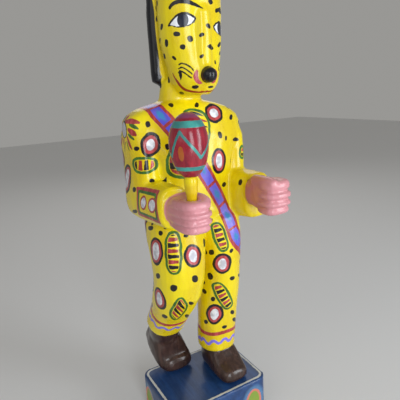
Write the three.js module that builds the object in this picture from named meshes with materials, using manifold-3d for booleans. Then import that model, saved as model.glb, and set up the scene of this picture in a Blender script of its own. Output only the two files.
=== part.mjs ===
// A painted wooden carving of a leopard dancer on a block plinth, in millimetres.
// +Z is up, the dancer faces -Y, and its own right hand is on the -X side.
// The origin is the centre of the plinth's underside.
import * as THREE from 'three';
import { mergeVertices } from 'three/addons/utils/BufferGeometryUtils.js';
import Module from 'manifold-3d';

const wasm = await Module();
wasm.setup();

// Driving dimensions
const GAP = 0.3; // play between two pieces that touch
const PLINTH_WIDTH = 110;
const PLINTH_DEPTH = 82;
const PLINTH_HEIGHT = 44;
const PLINTH_CORNER = 11; // rounding of the upright edges
const PLINTH_EDGE = 4.5; // worn rounding of the top edge
const SOLE = PLINTH_HEIGHT + GAP; // what the shoes stand on

const CROWN = 438; // top of the hair
const EYE_HEIGHT = 394;
const NOSE_HEIGHT = 351.5;
const NOSE_RADIUS = 6.6;
const CHIN = 336;
const HAIR_BOTTOM = 344; // where the slab of hair ends behind the neck
const SHOULDER = 333;
const ELBOW = 249; // height of the forearms' middle line
const SEAT = 196; // where the legs part
const CUFF_LEFT = 74;
const CUFF_RIGHT = 104; // middle of the raised leg's hem

const TRUNK_X = -3; // the trunk sits a little to the dancer's right of the head
const NECK_X = -6; // so does the neck
const SHOULDER_SHIFT = -2.2; // and the shoulders a little further
const HIP_SHIFT = -1.5; // and so do the hips
const ARM_X = 46; // the arms' middle line, out from the trunk's
const FIST_HEIGHT = 29; // of the empty left fist
const GRIP_HEIGHT = 24.6; // of the right one, which holds the stick
const HAND_X = 39.5;
const STICK_Y = -68.5; // the maraca's middle line, forward of the body's
const STICK_RADIUS = 3.9;
const STICK_FOOT = 242; // how far down the stick goes into the fist
const RATTLE_BOTTOM = 276;
const RATTLE_TOP = 325.5;
const RATTLE_RADIUS = 14.9;

const BODY_SIDES = 26;
const LIMB_SIDES = 22;
const SMALL_SIDES = 14;
const THIGH_POWER = 2.8; // the thighs are boxier than the shins
const LEG_POWER = 2.3;

// A closed outline round a centre, in a level plane that is tipped about X by tilt degrees.
// half holds the half width across X, the reach to the front and the reach to the back.
// power 2 is an ellipse, and a larger one is boxier.
function ring(section, sides) {
  const { at, tilt = 0, half, power = 2.3 } = section;
  const [width, front, back = front] = half;
  const lean = THREE.MathUtils.degToRad(tilt);
  const depthAxis = new THREE.Vector3(0, Math.cos(lean), Math.sin(lean));
  const points = [];
  for (let i = 0; i < sides; i += 1) {
    const angle = (2 * Math.PI * i) / sides;
    const c = Math.cos(angle);
    const s = Math.sin(angle);
    const x = Math.sign(c) * Math.abs(c) ** (2 / power) * width;
    const d = Math.sign(s) * Math.abs(s) ** (2 / power) * (s < 0 ? front : back);
    points.push(new THREE.Vector3(at[0] + x, at[1], at[2]).addScaledVector(depthAxis, d));
  }
  return points;
}

// Makes a closed body through a row of rings, each with the same number of points.
function skin(rings) {
  const sides = rings[0].length;
  const positions = [];
  const middle = (points) => {
    const sum = new THREE.Vector3();
    points.forEach((p) => sum.add(p));
    return sum.divideScalar(points.length);
  };
  rings.flat().forEach((p) => positions.push(p.x, p.y, p.z));
  const first = middle(rings[0]);
  const last = middle(rings.at(-1));
  positions.push(first.x, first.y, first.z, last.x, last.y, last.z);
  const firstIndex = rings.length * sides;
  const lastIndex = firstIndex + 1;
  const faces = [];
  for (let r = 0; r + 1 < rings.length; r += 1) {
    for (let i = 0; i < sides; i += 1) {
      const j = (i + 1) % sides;
      const a = r * sides + i;
      const b = r * sides + j;
      const c = a + sides;
      const d = b + sides;
      faces.push(a, b, d, a, d, c);
    }
  }
  const top = (rings.length - 1) * sides;
  for (let i = 0; i < sides; i += 1) {
    const j = (i + 1) % sides;
    faces.push(firstIndex, j, i, lastIndex, top + i, top + j);
  }
  const geometry = new THREE.BufferGeometry();
  geometry.setAttribute('position', new THREE.Float32BufferAttribute(positions, 3));
  geometry.setIndex(faces);
  return outward(geometry);
}

// Turns a closed geometry's faces outwards.
function outward(geometry) {
  const p = geometry.attributes.position;
  const index = geometry.index.array;
  const corner = (i) => new THREE.Vector3().fromBufferAttribute(p, index[i]);
  let volume = 0;
  for (let i = 0; i < index.length; i += 3) {
    volume += corner(i).dot(corner(i + 1).cross(corner(i + 2)));
  }
  if (volume < 0) {
    for (let i = 0; i < index.length; i += 3) {
      [index[i + 1], index[i + 2]] = [index[i + 2], index[i + 1]];
    }
  }
  return geometry;
}

function loft(sections, sides = LIMB_SIDES) {
  return skin(sections.map((section) => ring(section, sides)));
}

// A loft with rounded ends: each end gets smaller rings that close it like a dome.
function domedLoft(sections, sides, domeStart, domeEnd) {
  const steps = [0.5, 0.85];
  const dome = (section, reach) => steps.map((step) => {
    const lean = THREE.MathUtils.degToRad(section.tilt ?? 0);
    const along = [0, -Math.sin(lean), Math.cos(lean)];
    const shrink = Math.sqrt(1 - step * step);
    return {
      ...section,
      at: section.at.map((value, axis) => value + along[axis] * reach * step),
      half: section.half.map((value) => value * shrink),
    };
  });
  const start = domeStart ? dome(sections[0], domeStart).reverse() : [];
  const end = domeEnd ? dome(sections.at(-1), domeEnd) : [];
  return loft([...start, ...sections, ...end], sides);
}

function turned(profile, sides) {
  const points = profile.map(([radius, height]) => new THREE.Vector2(radius, height));
  const geometry = new THREE.LatheGeometry(points, sides);
  geometry.rotateX(Math.PI / 2);
  return geometry;
}

function ball(radius, at) {
  const geometry = new THREE.SphereGeometry(radius, SMALL_SIDES, SMALL_SIDES / 2);
  geometry.translate(...at);
  return geometry;
}

function solid(geometry) {
  const bare = geometry.clone();
  bare.deleteAttribute('normal');
  bare.deleteAttribute('uv');
  const merged = outward(mergeVertices(bare, 1e-4));
  return new wasm.Manifold(new wasm.Mesh({
    numProp: 3,
    vertProperties: new Float32Array(merged.attributes.position.array),
    triVerts: new Uint32Array(merged.index.array),
  }));
}

function join(geometries) {
  return geometries.map(solid).reduce((sum, next) => sum.add(next));
}

function toGeometry(body) {
  const mesh = body.getMesh();
  const geometry = new THREE.BufferGeometry();
  geometry.setAttribute('position', new THREE.Float32BufferAttribute(mesh.vertProperties, 3));
  geometry.setIndex(Array.from(mesh.triVerts));
  return geometry;
}

// The head: a tall narrow face that tapers to a muzzle, with a straight ridge for the nose
function headForms() {
  const middle = -9;
  const face = [
    // height, half width, front, back, from the chin to the forehead
    [CHIN, 12, 17, 14],
    [CHIN + 3, 15.5, 21, 17],
    [CHIN + 9, 19.5, 25, 19],
    [CHIN + 17, 22, 26, 20],
    [CHIN + 25, 22.8, 24.5, 20.5],
    [CHIN + 35, 24.8, 23.5, 21],
    [EYE_HEIGHT - 10, 26.5, 23, 21],
    [EYE_HEIGHT, 26.6, 23, 21],
    [EYE_HEIGHT + 8, 27, 24.4, 20],
    [EYE_HEIGHT + 20, 26.6, 24.2, 19],
    [EYE_HEIGHT + 31, 25, 22, 18],
    [CROWN - 5, 20, 16, 13],
    [CROWN - 1.5, 10, 7, 6],
  ];
  const skull = loft(face.map(([z, width, front, back]) => (
    { at: [0, middle, z], half: [width, front, back], power: 2.45 })), BODY_SIDES);
  const ridge = loft([
    { at: [0, -26, EYE_HEIGHT + 16], half: [5, 6.2], power: 2.8 },
    { at: [0, -28, EYE_HEIGHT + 6], half: [6.6, 7.6], power: 2.8 },
    { at: [0, -28, EYE_HEIGHT - 8], half: [7.2, 8], power: 2.8 },
    { at: [0, -28, EYE_HEIGHT - 24], half: [7.4, 7.8], power: 2.8 },
    { at: [0, -28.5, NOSE_HEIGHT + 8], half: [7.2, 7.6], power: 2.8 },
    { at: [0, -29, NOSE_HEIGHT - 2], half: [6.4, 6.4], power: 2.8 },
  ], SMALL_SIDES);
  const nose = ball(NOSE_RADIUS, [0, -38, NOSE_HEIGHT]);
  return [skull, ridge, nose];
}

// The hair: a flat slab that hangs behind the head, and a cap over the crown
function hairForms() {
  const slabMiddle = 11;
  const slab = domedLoft([
    { at: [0, slabMiddle, HAIR_BOTTOM + 5], half: [28.6, 7, 7], power: 3.2 },
    { at: [0, slabMiddle, HAIR_BOTTOM + 12], half: [29, 8, 8], power: 3.4 },
    { at: [0, slabMiddle, HAIR_BOTTOM + 30], half: [29, 7.5, 8], power: 3.4 },
    { at: [0, slabMiddle, HAIR_BOTTOM + 60], half: [29.2, 8, 8], power: 3.2 },
    { at: [0, slabMiddle - 1, HAIR_BOTTOM + 76], half: [28.4, 9, 8], power: 2.8 },
    { at: [0, slabMiddle - 4, HAIR_BOTTOM + 86], half: [25, 10, 8.5], power: 2.5 },
  ], LIMB_SIDES, -5, 6);
  const cap = domedLoft([
    { at: [0, -8, EYE_HEIGHT + 27], half: [27.2, 23.5, 20], power: 2.4 },
    { at: [0, -8, EYE_HEIGHT + 33], half: [25.4, 21.5, 19], power: 2.4 },
  ], BODY_SIDES, 0, CROWN - EYE_HEIGHT - 33);
  return [slab, cap];
}

function earForms() {
  return [-1, 1].map((side) => domedLoft([
    { at: [side * 18, -6, EYE_HEIGHT + 34], half: [9, 4.4], power: 2 },
    { at: [side * 19.5, -6, EYE_HEIGHT + 42], half: [9, 4.2], power: 2 },
  ], SMALL_SIDES, 0, 8));
}

// The trunk, from the neck over the square shoulders down to the seat
function trunkForms() {
  const neck = loft([
    { at: [NECK_X, 5, SHOULDER - 8], half: [21, 16, 16] },
    { at: [NECK_X, 4, SHOULDER + 4], half: [19, 14, 14.5] },
    { at: [NECK_X / 2, 4, CHIN + 14], half: [19.2, 14, 13] },
  ]);
  const trunk = loft([
    // height, half width, front, back, middle, from the crotch to the neck
    [SEAT + 12, 16, 7, 7, 0],
    [SEAT + 18, 32, 17, 17, -1],
    [SEAT + 26, 40, 24.5, 25, -1],
    [SEAT + 36, 43.3, 27, 26.5, -1],
    [SEAT + 46, 42.8, 27, 25, 0],
    [SEAT + 64, 39.5, 27, 23, 0],
    [SEAT + 78, 40, 28, 23, 0],
    [SEAT + 89, 43.5, 28, 23.5, 0.5],
    [SEAT + 98, 50.5, 27.5, 24, 1],
    [SHOULDER - 31, 56, 26, 24.5, 1.5],
    [SHOULDER - 22, 56.8, 23.5, 23.5, 2.5],
    [SHOULDER - 16, 55.2, 21.5, 22.5, 3],
    [SHOULDER - 11.5, 50.4, 20, 21, 3],
    [SHOULDER - 8, 44, 18.3, 20, 3],
    [SHOULDER - 5.5, 37.2, 16.5, 19, 3],
    [SHOULDER - 3, 26.5, 14.5, 17, 3],
    [SHOULDER - 1, 18.5, 10, 14, 3],
  ].map(([z, width, front, back, y]) => {
    const power = THREE.MathUtils.mapLinear(z, SEAT, SHOULDER, 2.4, 3);
    const low = THREE.MathUtils.smoothstep(z, SEAT + 78, SHOULDER - 31);
    const high = THREE.MathUtils.smoothstep(z, SHOULDER - 22, SHOULDER - 8);
    const hip = 1 - THREE.MathUtils.smoothstep(z, SEAT + 42, SEAT + 70);
    const x = TRUNK_X + SHOULDER_SHIFT * (low + high) + HIP_SHIFT * hip;
    return { at: [x, y, z], half: [width, front, back], power };
  }), BODY_SIDES);
  return [neck, trunk];
}

// One arm: a thick upper arm, and a forearm held level in a wide sleeve
function armForms(side, sleeve) {
  const { armX, domeIn, raise, sleeveEnd, handX, deep, high, wedge, power } = sleeve;
  const shoulderX = TRUNK_X + side * armX;
  const middle = ELBOW + raise;
  const upper = domedLoft([
    // height, shift inwards, half width, front, back
    [middle - 8, 0, 11.5, 19, 21.5],
    [middle + 12, 0, 11.8, 23, 24],
    [ELBOW + 34, 0, 12, 22.5, 24],
    [ELBOW + 49, domeIn[0], 12.3, 22.5, 23],
    [ELBOW + 58, domeIn[1], 12, 20, 20.5],
  ].map(([z, inward, width, front, back]) => (
    { at: [shoulderX - side * inward, 4, z], half: [width, front, back], power: 2.7 })),
  LIMB_SIDES, 0, 7);
  const rings = [
    // distance behind the body's middle, half width, below and above the middle line
    [27.5, 7.5, 6, 9],
    [24, 10, 14.5, 13],
    [17, 12, 19, 17],
    [5, 12.8, deep + 1, 19],
    [-14, 13.2, deep + 0.5, high + 0.5],
    [-32, 13.6, deep, high],
    [sleeveEnd + 2, 13.8, deep - 1, high - 0.5],
    [sleeveEnd, 12.8, deep - 2.5, high - 2],
  ];
  const forearm = loft(rings.map(([y, width, below, above]) => {
    const forward = THREE.MathUtils.clamp((12 - y) / (12 - sleeveEnd), 0, 1);
    const x = THREE.MathUtils.lerp(shoulderX, side * (handX + 2), forward);
    const flare = y < 10 ? wedge * (1 - forward) : 0; // the inner side slants towards the trunk
    return { at: [x - side * flare, y, middle], tilt: 90, half: [width + flare, below, above], power };
  }));
  return [upper, forearm];
}

// One clenched hand: the back of the hand, and four fingers laid one above the other
function fistForms(side, hand) {
  const { x, wrist, front, middle, height, fingerLength } = hand;
  const squash = height / FIST_HEIGHT;
  const back = loft([
    [wrist + 8, 11.5, 8, 10],
    [wrist, 12.8, 10, 11.8],
    [wrist - 5, 13.4, 12.5, 13],
    [wrist - 12, 13.4, 14.4, 13.8],
    [front + 18, 13.2, 14.8, 14],
    [front + 8, 11.5, 14, 13],
    [front + 3.5, 8, 12, 11],
  ].map(([y, width, below, above]) => (
    {
      at: [side * (x + 0.6), y, middle + 1],
      tilt: 90,
      half: [width, below * squash, above * squash],
      power: 3,
    })));
  const shares = [0.29, 0.26, 0.24, 0.21];
  const reach = [0, 1.2, 0.8, -0.8];
  let top = middle + height / 2;
  const fingers = shares.map((share, i) => {
    const thick = share * height;
    const z = top - thick / 2;
    top -= thick;
    const length = fingerLength / 2;
    const width = 14 - Math.abs(i - 1.3) * 0.5;
    const at = [side * x, front + length - reach[i], z];
    const section = (lift, shrink) => ({
      at: [at[0], at[1], z + lift * thick],
      half: [width - shrink, length - shrink],
      power: 2.9,
    });
    return loft([
      section(-0.56, 2.8), section(-0.36, 0.7), section(0, 0), section(0.36, 0.7), section(0.56, 2.8),
    ], SMALL_SIDES);
  });
  return [back, ...fingers];
}

function thumb(at, length, thickness) {
  return domedLoft([
    { at: [at[0], at[1] + length / 2, at[2]], tilt: 90, half: [thickness, thickness * 0.9] },
    { at: [at[0], at[1] - length / 4, at[2] + 0.8], tilt: 90, half: [thickness, thickness * 0.85] },
    { at: [at[0], at[1] - length / 2, at[2]], tilt: 90, half: [thickness * 0.9, thickness * 0.75] },
  ], SMALL_SIDES, -3, 3);
}

function leftLegForms() {
  const leg = loft([
    // height, across, forward, half width, half depth
    [SEAT + 42, 17, 0, 18, 21],
    [SEAT + 27, 19.2, -1, 21.5, 27.3],
    [SEAT + 12, 20.2, -2, 21.5, 27.5],
    [SEAT - 6, 21.4, -4, 21.1, 26],
    [SEAT - 30, 21.5, -4, 20.1, 24.2],
    [SEAT - 56, 21.6, -2, 20, 22.5],
    [SEAT - 80, 20.8, 0, 19.6, 20.5],
    [SEAT - 102, 20.2, 2, 19.4, 19.8],
    [CUFF_LEFT + 8, 20, 3, 19.4, 19.4],
    [CUFF_LEFT, 20, 3.5, 19, 19],
  ].map(([z, x, y, width, depth]) => (
    { at: [x, y, z], half: [width, depth], power: z > SEAT ? THIGH_POWER : LEG_POWER })));
  const x = 22.5;
  const top = CUFF_LEFT - SOLE;
  const shoe = domedLoft([
    // y, half width, height of the upper
    [21, 12, top - 4],
    [13, 15.5, top + 3],
    [0, 16.8, top + 5],
    [-8, 17, top],
    [-18, 16.8, 20],
    [-27, 15.2, 15.5],
  ].map(([y, width, height]) => shoeSection(x, y, SOLE, width, height)), LIMB_SIDES, -5, 7);
  return [leg, shoe];
}

// A shoe's cross-section, flat below and rounded above, on a sole that may slope down to the toe
function shoeSection(x, y, sole, width, height, slope = 0) {
  const tilt = 90 + slope;
  const lean = THREE.MathUtils.degToRad(tilt);
  const below = height * 0.36;
  const at = [x, y + Math.cos(lean) * below, sole + Math.sin(lean) * below];
  return { at, tilt, half: [width, below, height - below], power: 2.7 };
}

function rightLegForms() {
  const leg = loft([
    // height, across, forward, tilt, half width, half depth
    [SEAT + 42, -21, 0, 0, 18, 21],
    [SEAT + 27, -24.8, -2, 0, 23.8, 28.5],
    [SEAT + 10, -25.2, -6, 0, 24.4, 29],
    [SEAT - 8, -26, -10, 0, 24, 27.5],
    [SEAT - 26, -26.2, -10, 4, 23, 26],
    [SEAT - 41, -27, -6, 13, 22.2, 24],
    [SEAT - 55, -27.2, 2, 22, 21.2, 21.5],
    [SEAT - 68, -27, 11, 27, 19.6, 20],
    [SEAT - 82, -27.6, 20, 27, 19.4, 19.2],
    [CUFF_RIGHT, -28, 27, 25, 19.2, 18.8],
  ].map(([z, x, y, tilt, width, depth]) => (
    { at: [x, y, z], tilt, half: [width, depth], power: z > SEAT ? THIGH_POWER : LEG_POWER })));
  const shoe = domedLoft([
    // across, y, rise of the sole, half width, height of the upper, slope
    [-27, 63, 24, 12.5, 30, 32],
    [-26.5, 53, 18.5, 15.5, 38, 32],
    [-25.5, 43.5, 11.5, 17, 39, 31],
    [-23, 36, 5.5, 18, 31.5, 26],
    [-20.5, 29.5, 1.5, 18.3, 24, 15],
    [-18.5, 24, 0, 17.4, 17.5, 4],
  ].map(([x, y, rise, width, height, slope]) => (
    shoeSection(x, y, SOLE + rise, width, height, slope))), LIMB_SIDES, -6, 7);
  const ankle = loft([
    { at: [-28, 26, CUFF_RIGHT + 4], tilt: 25, half: [17, 16] },
    { at: [-27, 33, CUFF_RIGHT - 11], tilt: 28, half: [16.6, 16.5] },
    { at: [-26, 39, CUFF_RIGHT - 24], tilt: 30, half: [14.5, 15] },
  ]);
  return [leg, ankle, shoe];
}

function makeFigure() {
  const rightHand = {
    x: HAND_X, wrist: -46, front: -83, middle: ELBOW - 1.7, height: GRIP_HEIGHT, fingerLength: 36,
  };
  const leftHand = {
    x: HAND_X + 2, wrist: -41, front: -79.5, middle: ELBOW - 1, height: FIST_HEIGHT, fingerLength: 23,
  };
  const rightSleeve = {
    armX: ARM_X, domeIn: [-0.8, -0.4], raise: 0, sleeveEnd: -48,
    handX: HAND_X + 2, deep: 19, high: 18, wedge: 0, power: 2.7,
  };
  const leftSleeve = {
    armX: ARM_X - 2, domeIn: [1, 3.4], raise: -4, sleeveEnd: -43,
    handX: HAND_X + 3, deep: 23.5, high: 20, wedge: 5, power: 3.5,
  };
  const body = join([
    ...headForms(),
    ...hairForms(),
    ...earForms(),
    ...trunkForms(),
    ...armForms(-1, rightSleeve),
    ...armForms(1, leftSleeve),
    ...fistForms(-1, rightHand),
    ...fistForms(1, leftHand),
    thumb([-HAND_X + 8.5, -63, ELBOW + 8.8], 24, 5),
    thumb([HAND_X - 5, -64, ELBOW + 12], 25, 5.4),
    ...leftLegForms(),
    ...rightLegForms(),
  ]);
  const hole = turned([
    [0, STICK_FOOT - GAP],
    [STICK_RADIUS + GAP, STICK_FOOT - GAP],
    [STICK_RADIUS + GAP, RATTLE_BOTTOM],
    [0, RATTLE_BOTTOM],
  ], SMALL_SIDES);
  hole.translate(-HAND_X, STICK_Y, 0);
  const floorCut = new THREE.BoxGeometry(400, 400, 100);
  floorCut.translate(0, 0, SOLE - 50);
  return body.subtract(solid(hole)).subtract(solid(floorCut));
}

// The maraca: an egg-shaped rattle on a short stick, pegged into the right fist
function makeMaraca() {
  const profile = [[0, STICK_FOOT], [STICK_RADIUS, STICK_FOOT]];
  profile.push([STICK_RADIUS, ELBOW + 18]);
  profile.push([STICK_RADIUS + 0.9, RATTLE_BOTTOM + 1]);
  const middle = RATTLE_BOTTOM + 0.54 * (RATTLE_TOP - RATTLE_BOTTOM);
  const steps = 11;
  for (let i = 1; i <= steps; i += 1) {
    const angle = -Math.PI / 2 + 0.34 + ((Math.PI - 0.34) * i) / steps;
    const reach = angle < 0 ? middle - RATTLE_BOTTOM : RATTLE_TOP - middle;
    profile.push([Math.max(RATTLE_RADIUS * Math.cos(angle), 0), middle + reach * Math.sin(angle)]);
  }
  profile.at(-1)[0] = 0;
  return solid(turned(profile, LIMB_SIDES));
}

// The plinth: a block with softened edges
function makePlinth() {
  const outline = (inset, z) => {
    const points = [];
    const radius = PLINTH_CORNER - inset * 0.5;
    const arcSteps = 6;
    const corners = [[1, -1, -90], [1, 1, 0], [-1, 1, 90], [-1, -1, 180]];
    corners.forEach(([sx, sy, start]) => {
      for (let i = 0; i <= arcSteps; i += 1) {
        const angle = THREE.MathUtils.degToRad(start + (90 * i) / arcSteps);
        points.push(new THREE.Vector3(
          sx * (PLINTH_WIDTH / 2 - inset - radius) + radius * Math.cos(angle),
          sy * (PLINTH_DEPTH / 2 - inset - radius) + radius * Math.sin(angle),
          z,
        ));
      }
    });
    return points;
  };
  const rings = [outline(1.2, 0), outline(0, 1.5), outline(0, PLINTH_HEIGHT - PLINTH_EDGE)];
  const edgeSteps = 4;
  for (let i = 1; i <= edgeSteps; i += 1) {
    const angle = (Math.PI / 2) * (i / edgeSteps);
    const inset = PLINTH_EDGE * (1 - Math.cos(angle));
    rings.push(outline(inset, PLINTH_HEIGHT - PLINTH_EDGE * (1 - Math.sin(angle))));
  }
  return solid(skin(rings));
}

function mesh(name, body, colour, roughness) {
  const material = new THREE.MeshStandardMaterial({ color: colour, roughness, metalness: 0 });
  const piece = new THREE.Mesh(toGeometry(body), material);
  piece.name = name;
  return piece;
}

const carving = new THREE.Group();
carving.add(mesh('figure', makeFigure(), '#e6cf12', 0.3));
const maraca = mesh('maraca', makeMaraca(), '#a3243a', 0.25);
maraca.position.set(-HAND_X, STICK_Y, 0);
carving.add(maraca);
carving.add(mesh('plinth', makePlinth(), '#1d3d75', 0.35));

export default carving;
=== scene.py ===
# %% [markdown]
# A leopard dancer, carved and painted.
#
# The real object is a folk carving: a dancer with a leopard's head, cut from one block of wood, painted
# with glossy enamel and set on a wooden plinth. A maraca stands in its right fist. The construction model
# gives every piece its true size and place. This lesson gives the pieces their rounded, hand-cut skin and
# their brushwork.
#
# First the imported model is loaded. Its nodes are the fixed frame that the finished pieces follow.

import math

import bpy
import numpy as np
from mathutils import Matrix, Vector
from mathutils.bvhtree import BVHTree


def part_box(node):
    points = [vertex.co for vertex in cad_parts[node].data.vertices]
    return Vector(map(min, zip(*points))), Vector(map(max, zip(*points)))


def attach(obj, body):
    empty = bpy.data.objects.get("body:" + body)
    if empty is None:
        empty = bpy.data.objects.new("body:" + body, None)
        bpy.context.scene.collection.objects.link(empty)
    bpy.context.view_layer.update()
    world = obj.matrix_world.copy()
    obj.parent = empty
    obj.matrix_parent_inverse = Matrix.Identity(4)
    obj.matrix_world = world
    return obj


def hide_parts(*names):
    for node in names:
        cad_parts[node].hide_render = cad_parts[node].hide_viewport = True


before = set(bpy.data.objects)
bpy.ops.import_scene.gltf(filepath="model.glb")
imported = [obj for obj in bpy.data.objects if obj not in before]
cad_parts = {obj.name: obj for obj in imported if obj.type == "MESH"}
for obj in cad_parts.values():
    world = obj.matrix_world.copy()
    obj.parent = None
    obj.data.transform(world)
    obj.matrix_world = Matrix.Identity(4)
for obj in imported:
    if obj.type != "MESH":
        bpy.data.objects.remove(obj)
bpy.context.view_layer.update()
bpy.ops.object.select_all(action="DESELECT")
print("nodes:", sorted(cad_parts))

# %% [markdown]
# The camera stands where the photographer stood: a little above the shoulders, to the dancer's right, and
# tipped down by fifteen degrees. It is set by its own three directions, because the same directions are
# used later to find the place on the wood that lies behind a point of the photograph.

# %% The camera
FRAME_PIXELS = 400
FRAME_MIDDLE = FRAME_PIXELS / 2
FOCAL_PIXELS = 415
SENSOR_MM = 36
CAMERA_TURN = math.radians(-29)
CAMERA_DISTANCE = 0.385
CAMERA_HEIGHT = 0.341
CAMERA_PITCH = math.radians(15)
CAMERA_YAW = math.radians(0.9)
CAMERA_ROLL = math.radians(3)
UP = Vector((0, 0, 1))


def camera_directions():
    """The camera's right, up and look directions."""
    ahead = Vector((-math.sin(CAMERA_TURN), math.cos(CAMERA_TURN), 0))
    aside = Vector((ahead.y, -ahead.x, 0))
    level_look = ahead * math.cos(CAMERA_YAW) + aside * math.sin(CAMERA_YAW)
    level_right = aside * math.cos(CAMERA_YAW) - ahead * math.sin(CAMERA_YAW)
    down_look = level_look * math.cos(CAMERA_PITCH) - UP * math.sin(CAMERA_PITCH)
    tipped_up = UP * math.cos(CAMERA_PITCH) + level_look * math.sin(CAMERA_PITCH)
    right = level_right * math.cos(CAMERA_ROLL) - tipped_up * math.sin(CAMERA_ROLL)
    up = tipped_up * math.cos(CAMERA_ROLL) + level_right * math.sin(CAMERA_ROLL)
    return right, up, down_look


view_right, view_up, view_look = camera_directions()
camera_place = Vector((
    CAMERA_DISTANCE * math.sin(CAMERA_TURN),
    -CAMERA_DISTANCE * math.cos(CAMERA_TURN),
    CAMERA_HEIGHT,
))
bpy.ops.object.camera_add()
camera = bpy.context.object
camera.name = "camera"
turn = Matrix((view_right, view_up, -view_look)).transposed()
camera.matrix_world = Matrix.Translation(camera_place) @ turn.to_4x4()
camera.data.sensor_width = SENSOR_MM
camera.data.lens = FOCAL_PIXELS / FRAME_PIXELS * SENSOR_MM
bpy.context.scene.camera = camera
print("camera at", tuple(round(c, 3) for c in camera_place), "lens", round(camera.data.lens, 2))

# %% [markdown]
# The studio is a pale floor, a pale surround and soft lamps. In the photograph a window in front of the
# dancer draws tall, cool highlights on the enamel: some face a little to the camera's left and some to
# its right. So two tall area lamps stand there like the halves of a window. Wide, weak ones from the side
# and from behind keep the shadows open.

# %% Studio
FLOOR_SIZE = 6
FLOOR_GREY = 0.72


def plain_material(name, colour, roughness):
    material = bpy.data.materials.new(name)
    material.use_nodes = True
    shader = material.node_tree.nodes["Principled BSDF"]
    shader.inputs["Base Color"].default_value = (*colour, 1)
    shader.inputs["Roughness"].default_value = roughness
    return material


def area_lamp(name, place, target, size, power, colour):
    """A rectangular lamp at place that faces target; size is its width and height."""
    bpy.ops.object.light_add(type="AREA", location=place)
    lamp = bpy.context.object
    lamp.name = name
    lamp.rotation_euler = (Vector(target) - Vector(place)).to_track_quat("-Z", "Y").to_euler()
    lamp.data.shape = "RECTANGLE"
    lamp.data.size, lamp.data.size_y = size
    lamp.data.energy = power
    lamp.data.color = colour
    return lamp


bpy.ops.mesh.primitive_plane_add(size=FLOOR_SIZE)
floor = bpy.context.object
floor.name = "floor"
floor.data.materials.append(plain_material("pale floor", (FLOOR_GREY,) * 3, 0.6))

BODY_MIDDLE = (0, 0, 0.25)
area_lamp("left window", (-0.22, -1.03, 0.4), BODY_MIDDLE, (0.28, 0.8), 5.3, (0.9, 0.95, 1))
area_lamp("right window", (0.59, -0.87, 0.39), BODY_MIDDLE, (0.28, 0.8), 5.9, (0.9, 0.95, 1))
area_lamp("fill", (-0.95, -0.55, 0.75), BODY_MIDDLE, (0.9, 0.9), 2, (1, 0.98, 0.95))
area_lamp("back", (0.5, 0.9, 0.9), BODY_MIDDLE, (0.8, 0.8), 2, (1, 0.98, 0.95))

world = bpy.data.worlds.new("studio")
world.use_nodes = True
world.node_tree.nodes["Background"].inputs["Color"].default_value = (0.72, 0.71, 0.68, 1)
world.node_tree.nodes["Background"].inputs["Strength"].default_value = 0.44
bpy.context.scene.world = world
bpy.context.scene.view_settings.view_transform = "Standard"

# %% [markdown]
# The figure begins as a copy of its construction solid, whose many flat faces have to become a skin that
# looks cut and sanded by hand. A subdivision surface would need a clean cage, which a joined solid isn't.
# A voxel remesh gives an even skin whatever the solid looked like, and smoothing then rounds it. A vertex
# group holds the smoothing back where an edge has to stay crisp, most at hems, sleeve ends and the nose.
# Smoothing alone would shrink every rounded form, so each short block of it is followed by a block with a
# negative factor, which swells the broad forms back to their size and leaves the small facets out.

# %% Copy the solid and remesh it
MM = 0.001
SKIN_VOXEL = 1.6 * MM
SMOOTHING_BLOCKS = 7
SMOOTH_IN = 0.5
SWELL_BACK = -0.506
MERGE = 0.01 * MM


def switch_to(mode):
    bpy.ops.object.mode_set(mode=mode)


def copy_of(node, name):
    """A new object with a merged copy of a construction node's mesh."""
    piece = bpy.data.objects.new(name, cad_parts[node].data.copy())
    bpy.context.scene.collection.objects.link(piece)
    bpy.ops.object.select_all(action="DESELECT")
    piece.select_set(True)
    bpy.context.view_layer.objects.active = piece
    piece.data.materials.clear()
    switch_to("EDIT")
    bpy.ops.mesh.select_all(action="SELECT")
    bpy.ops.mesh.remove_doubles(threshold=MERGE)
    bpy.ops.mesh.customdata_custom_splitnormals_clear()
    switch_to("OBJECT")
    return piece


def apply_modifier(piece, kind, **settings):
    bpy.context.view_layer.objects.active = piece
    bpy.ops.object.modifier_add(type=kind)
    modifier = piece.modifiers[-1]
    for setting, value in settings.items():
        setattr(modifier, setting, value)
    bpy.ops.object.modifier_apply(modifier=modifier.name)


def read_values(items, name, kind, width=1):
    """One property of many vertices, faces or loops as an array."""
    values = np.empty(len(items) * width, kind)
    items.foreach_get(name, values)
    return values


def points_mm(piece):
    """The piece's vertices as an array, in millimetres."""
    return read_values(piece.data.vertices, "co", np.float32, 3).reshape(-1, 3).astype(float) / MM


def normals_of(piece):
    return read_values(piece.data.vertices, "normal", np.float32, 3).reshape(-1, 3).astype(float)


def move_points(piece, points):
    """Moves the piece's vertices to the points, given in millimetres."""
    piece.data.vertices.foreach_set("co", (points * MM).ravel())
    piece.data.update()


def box_mm(piece):
    points = points_mm(piece)
    return points.min(0).round(1), points.max(0).round(1)


figure = copy_of("figure", "dancer")
apply_modifier(figure, "REMESH", mode="VOXEL", voxel_size=SKIN_VOXEL)
print("skin faces after the remesh:", len(figure.data.polygons))

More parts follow.
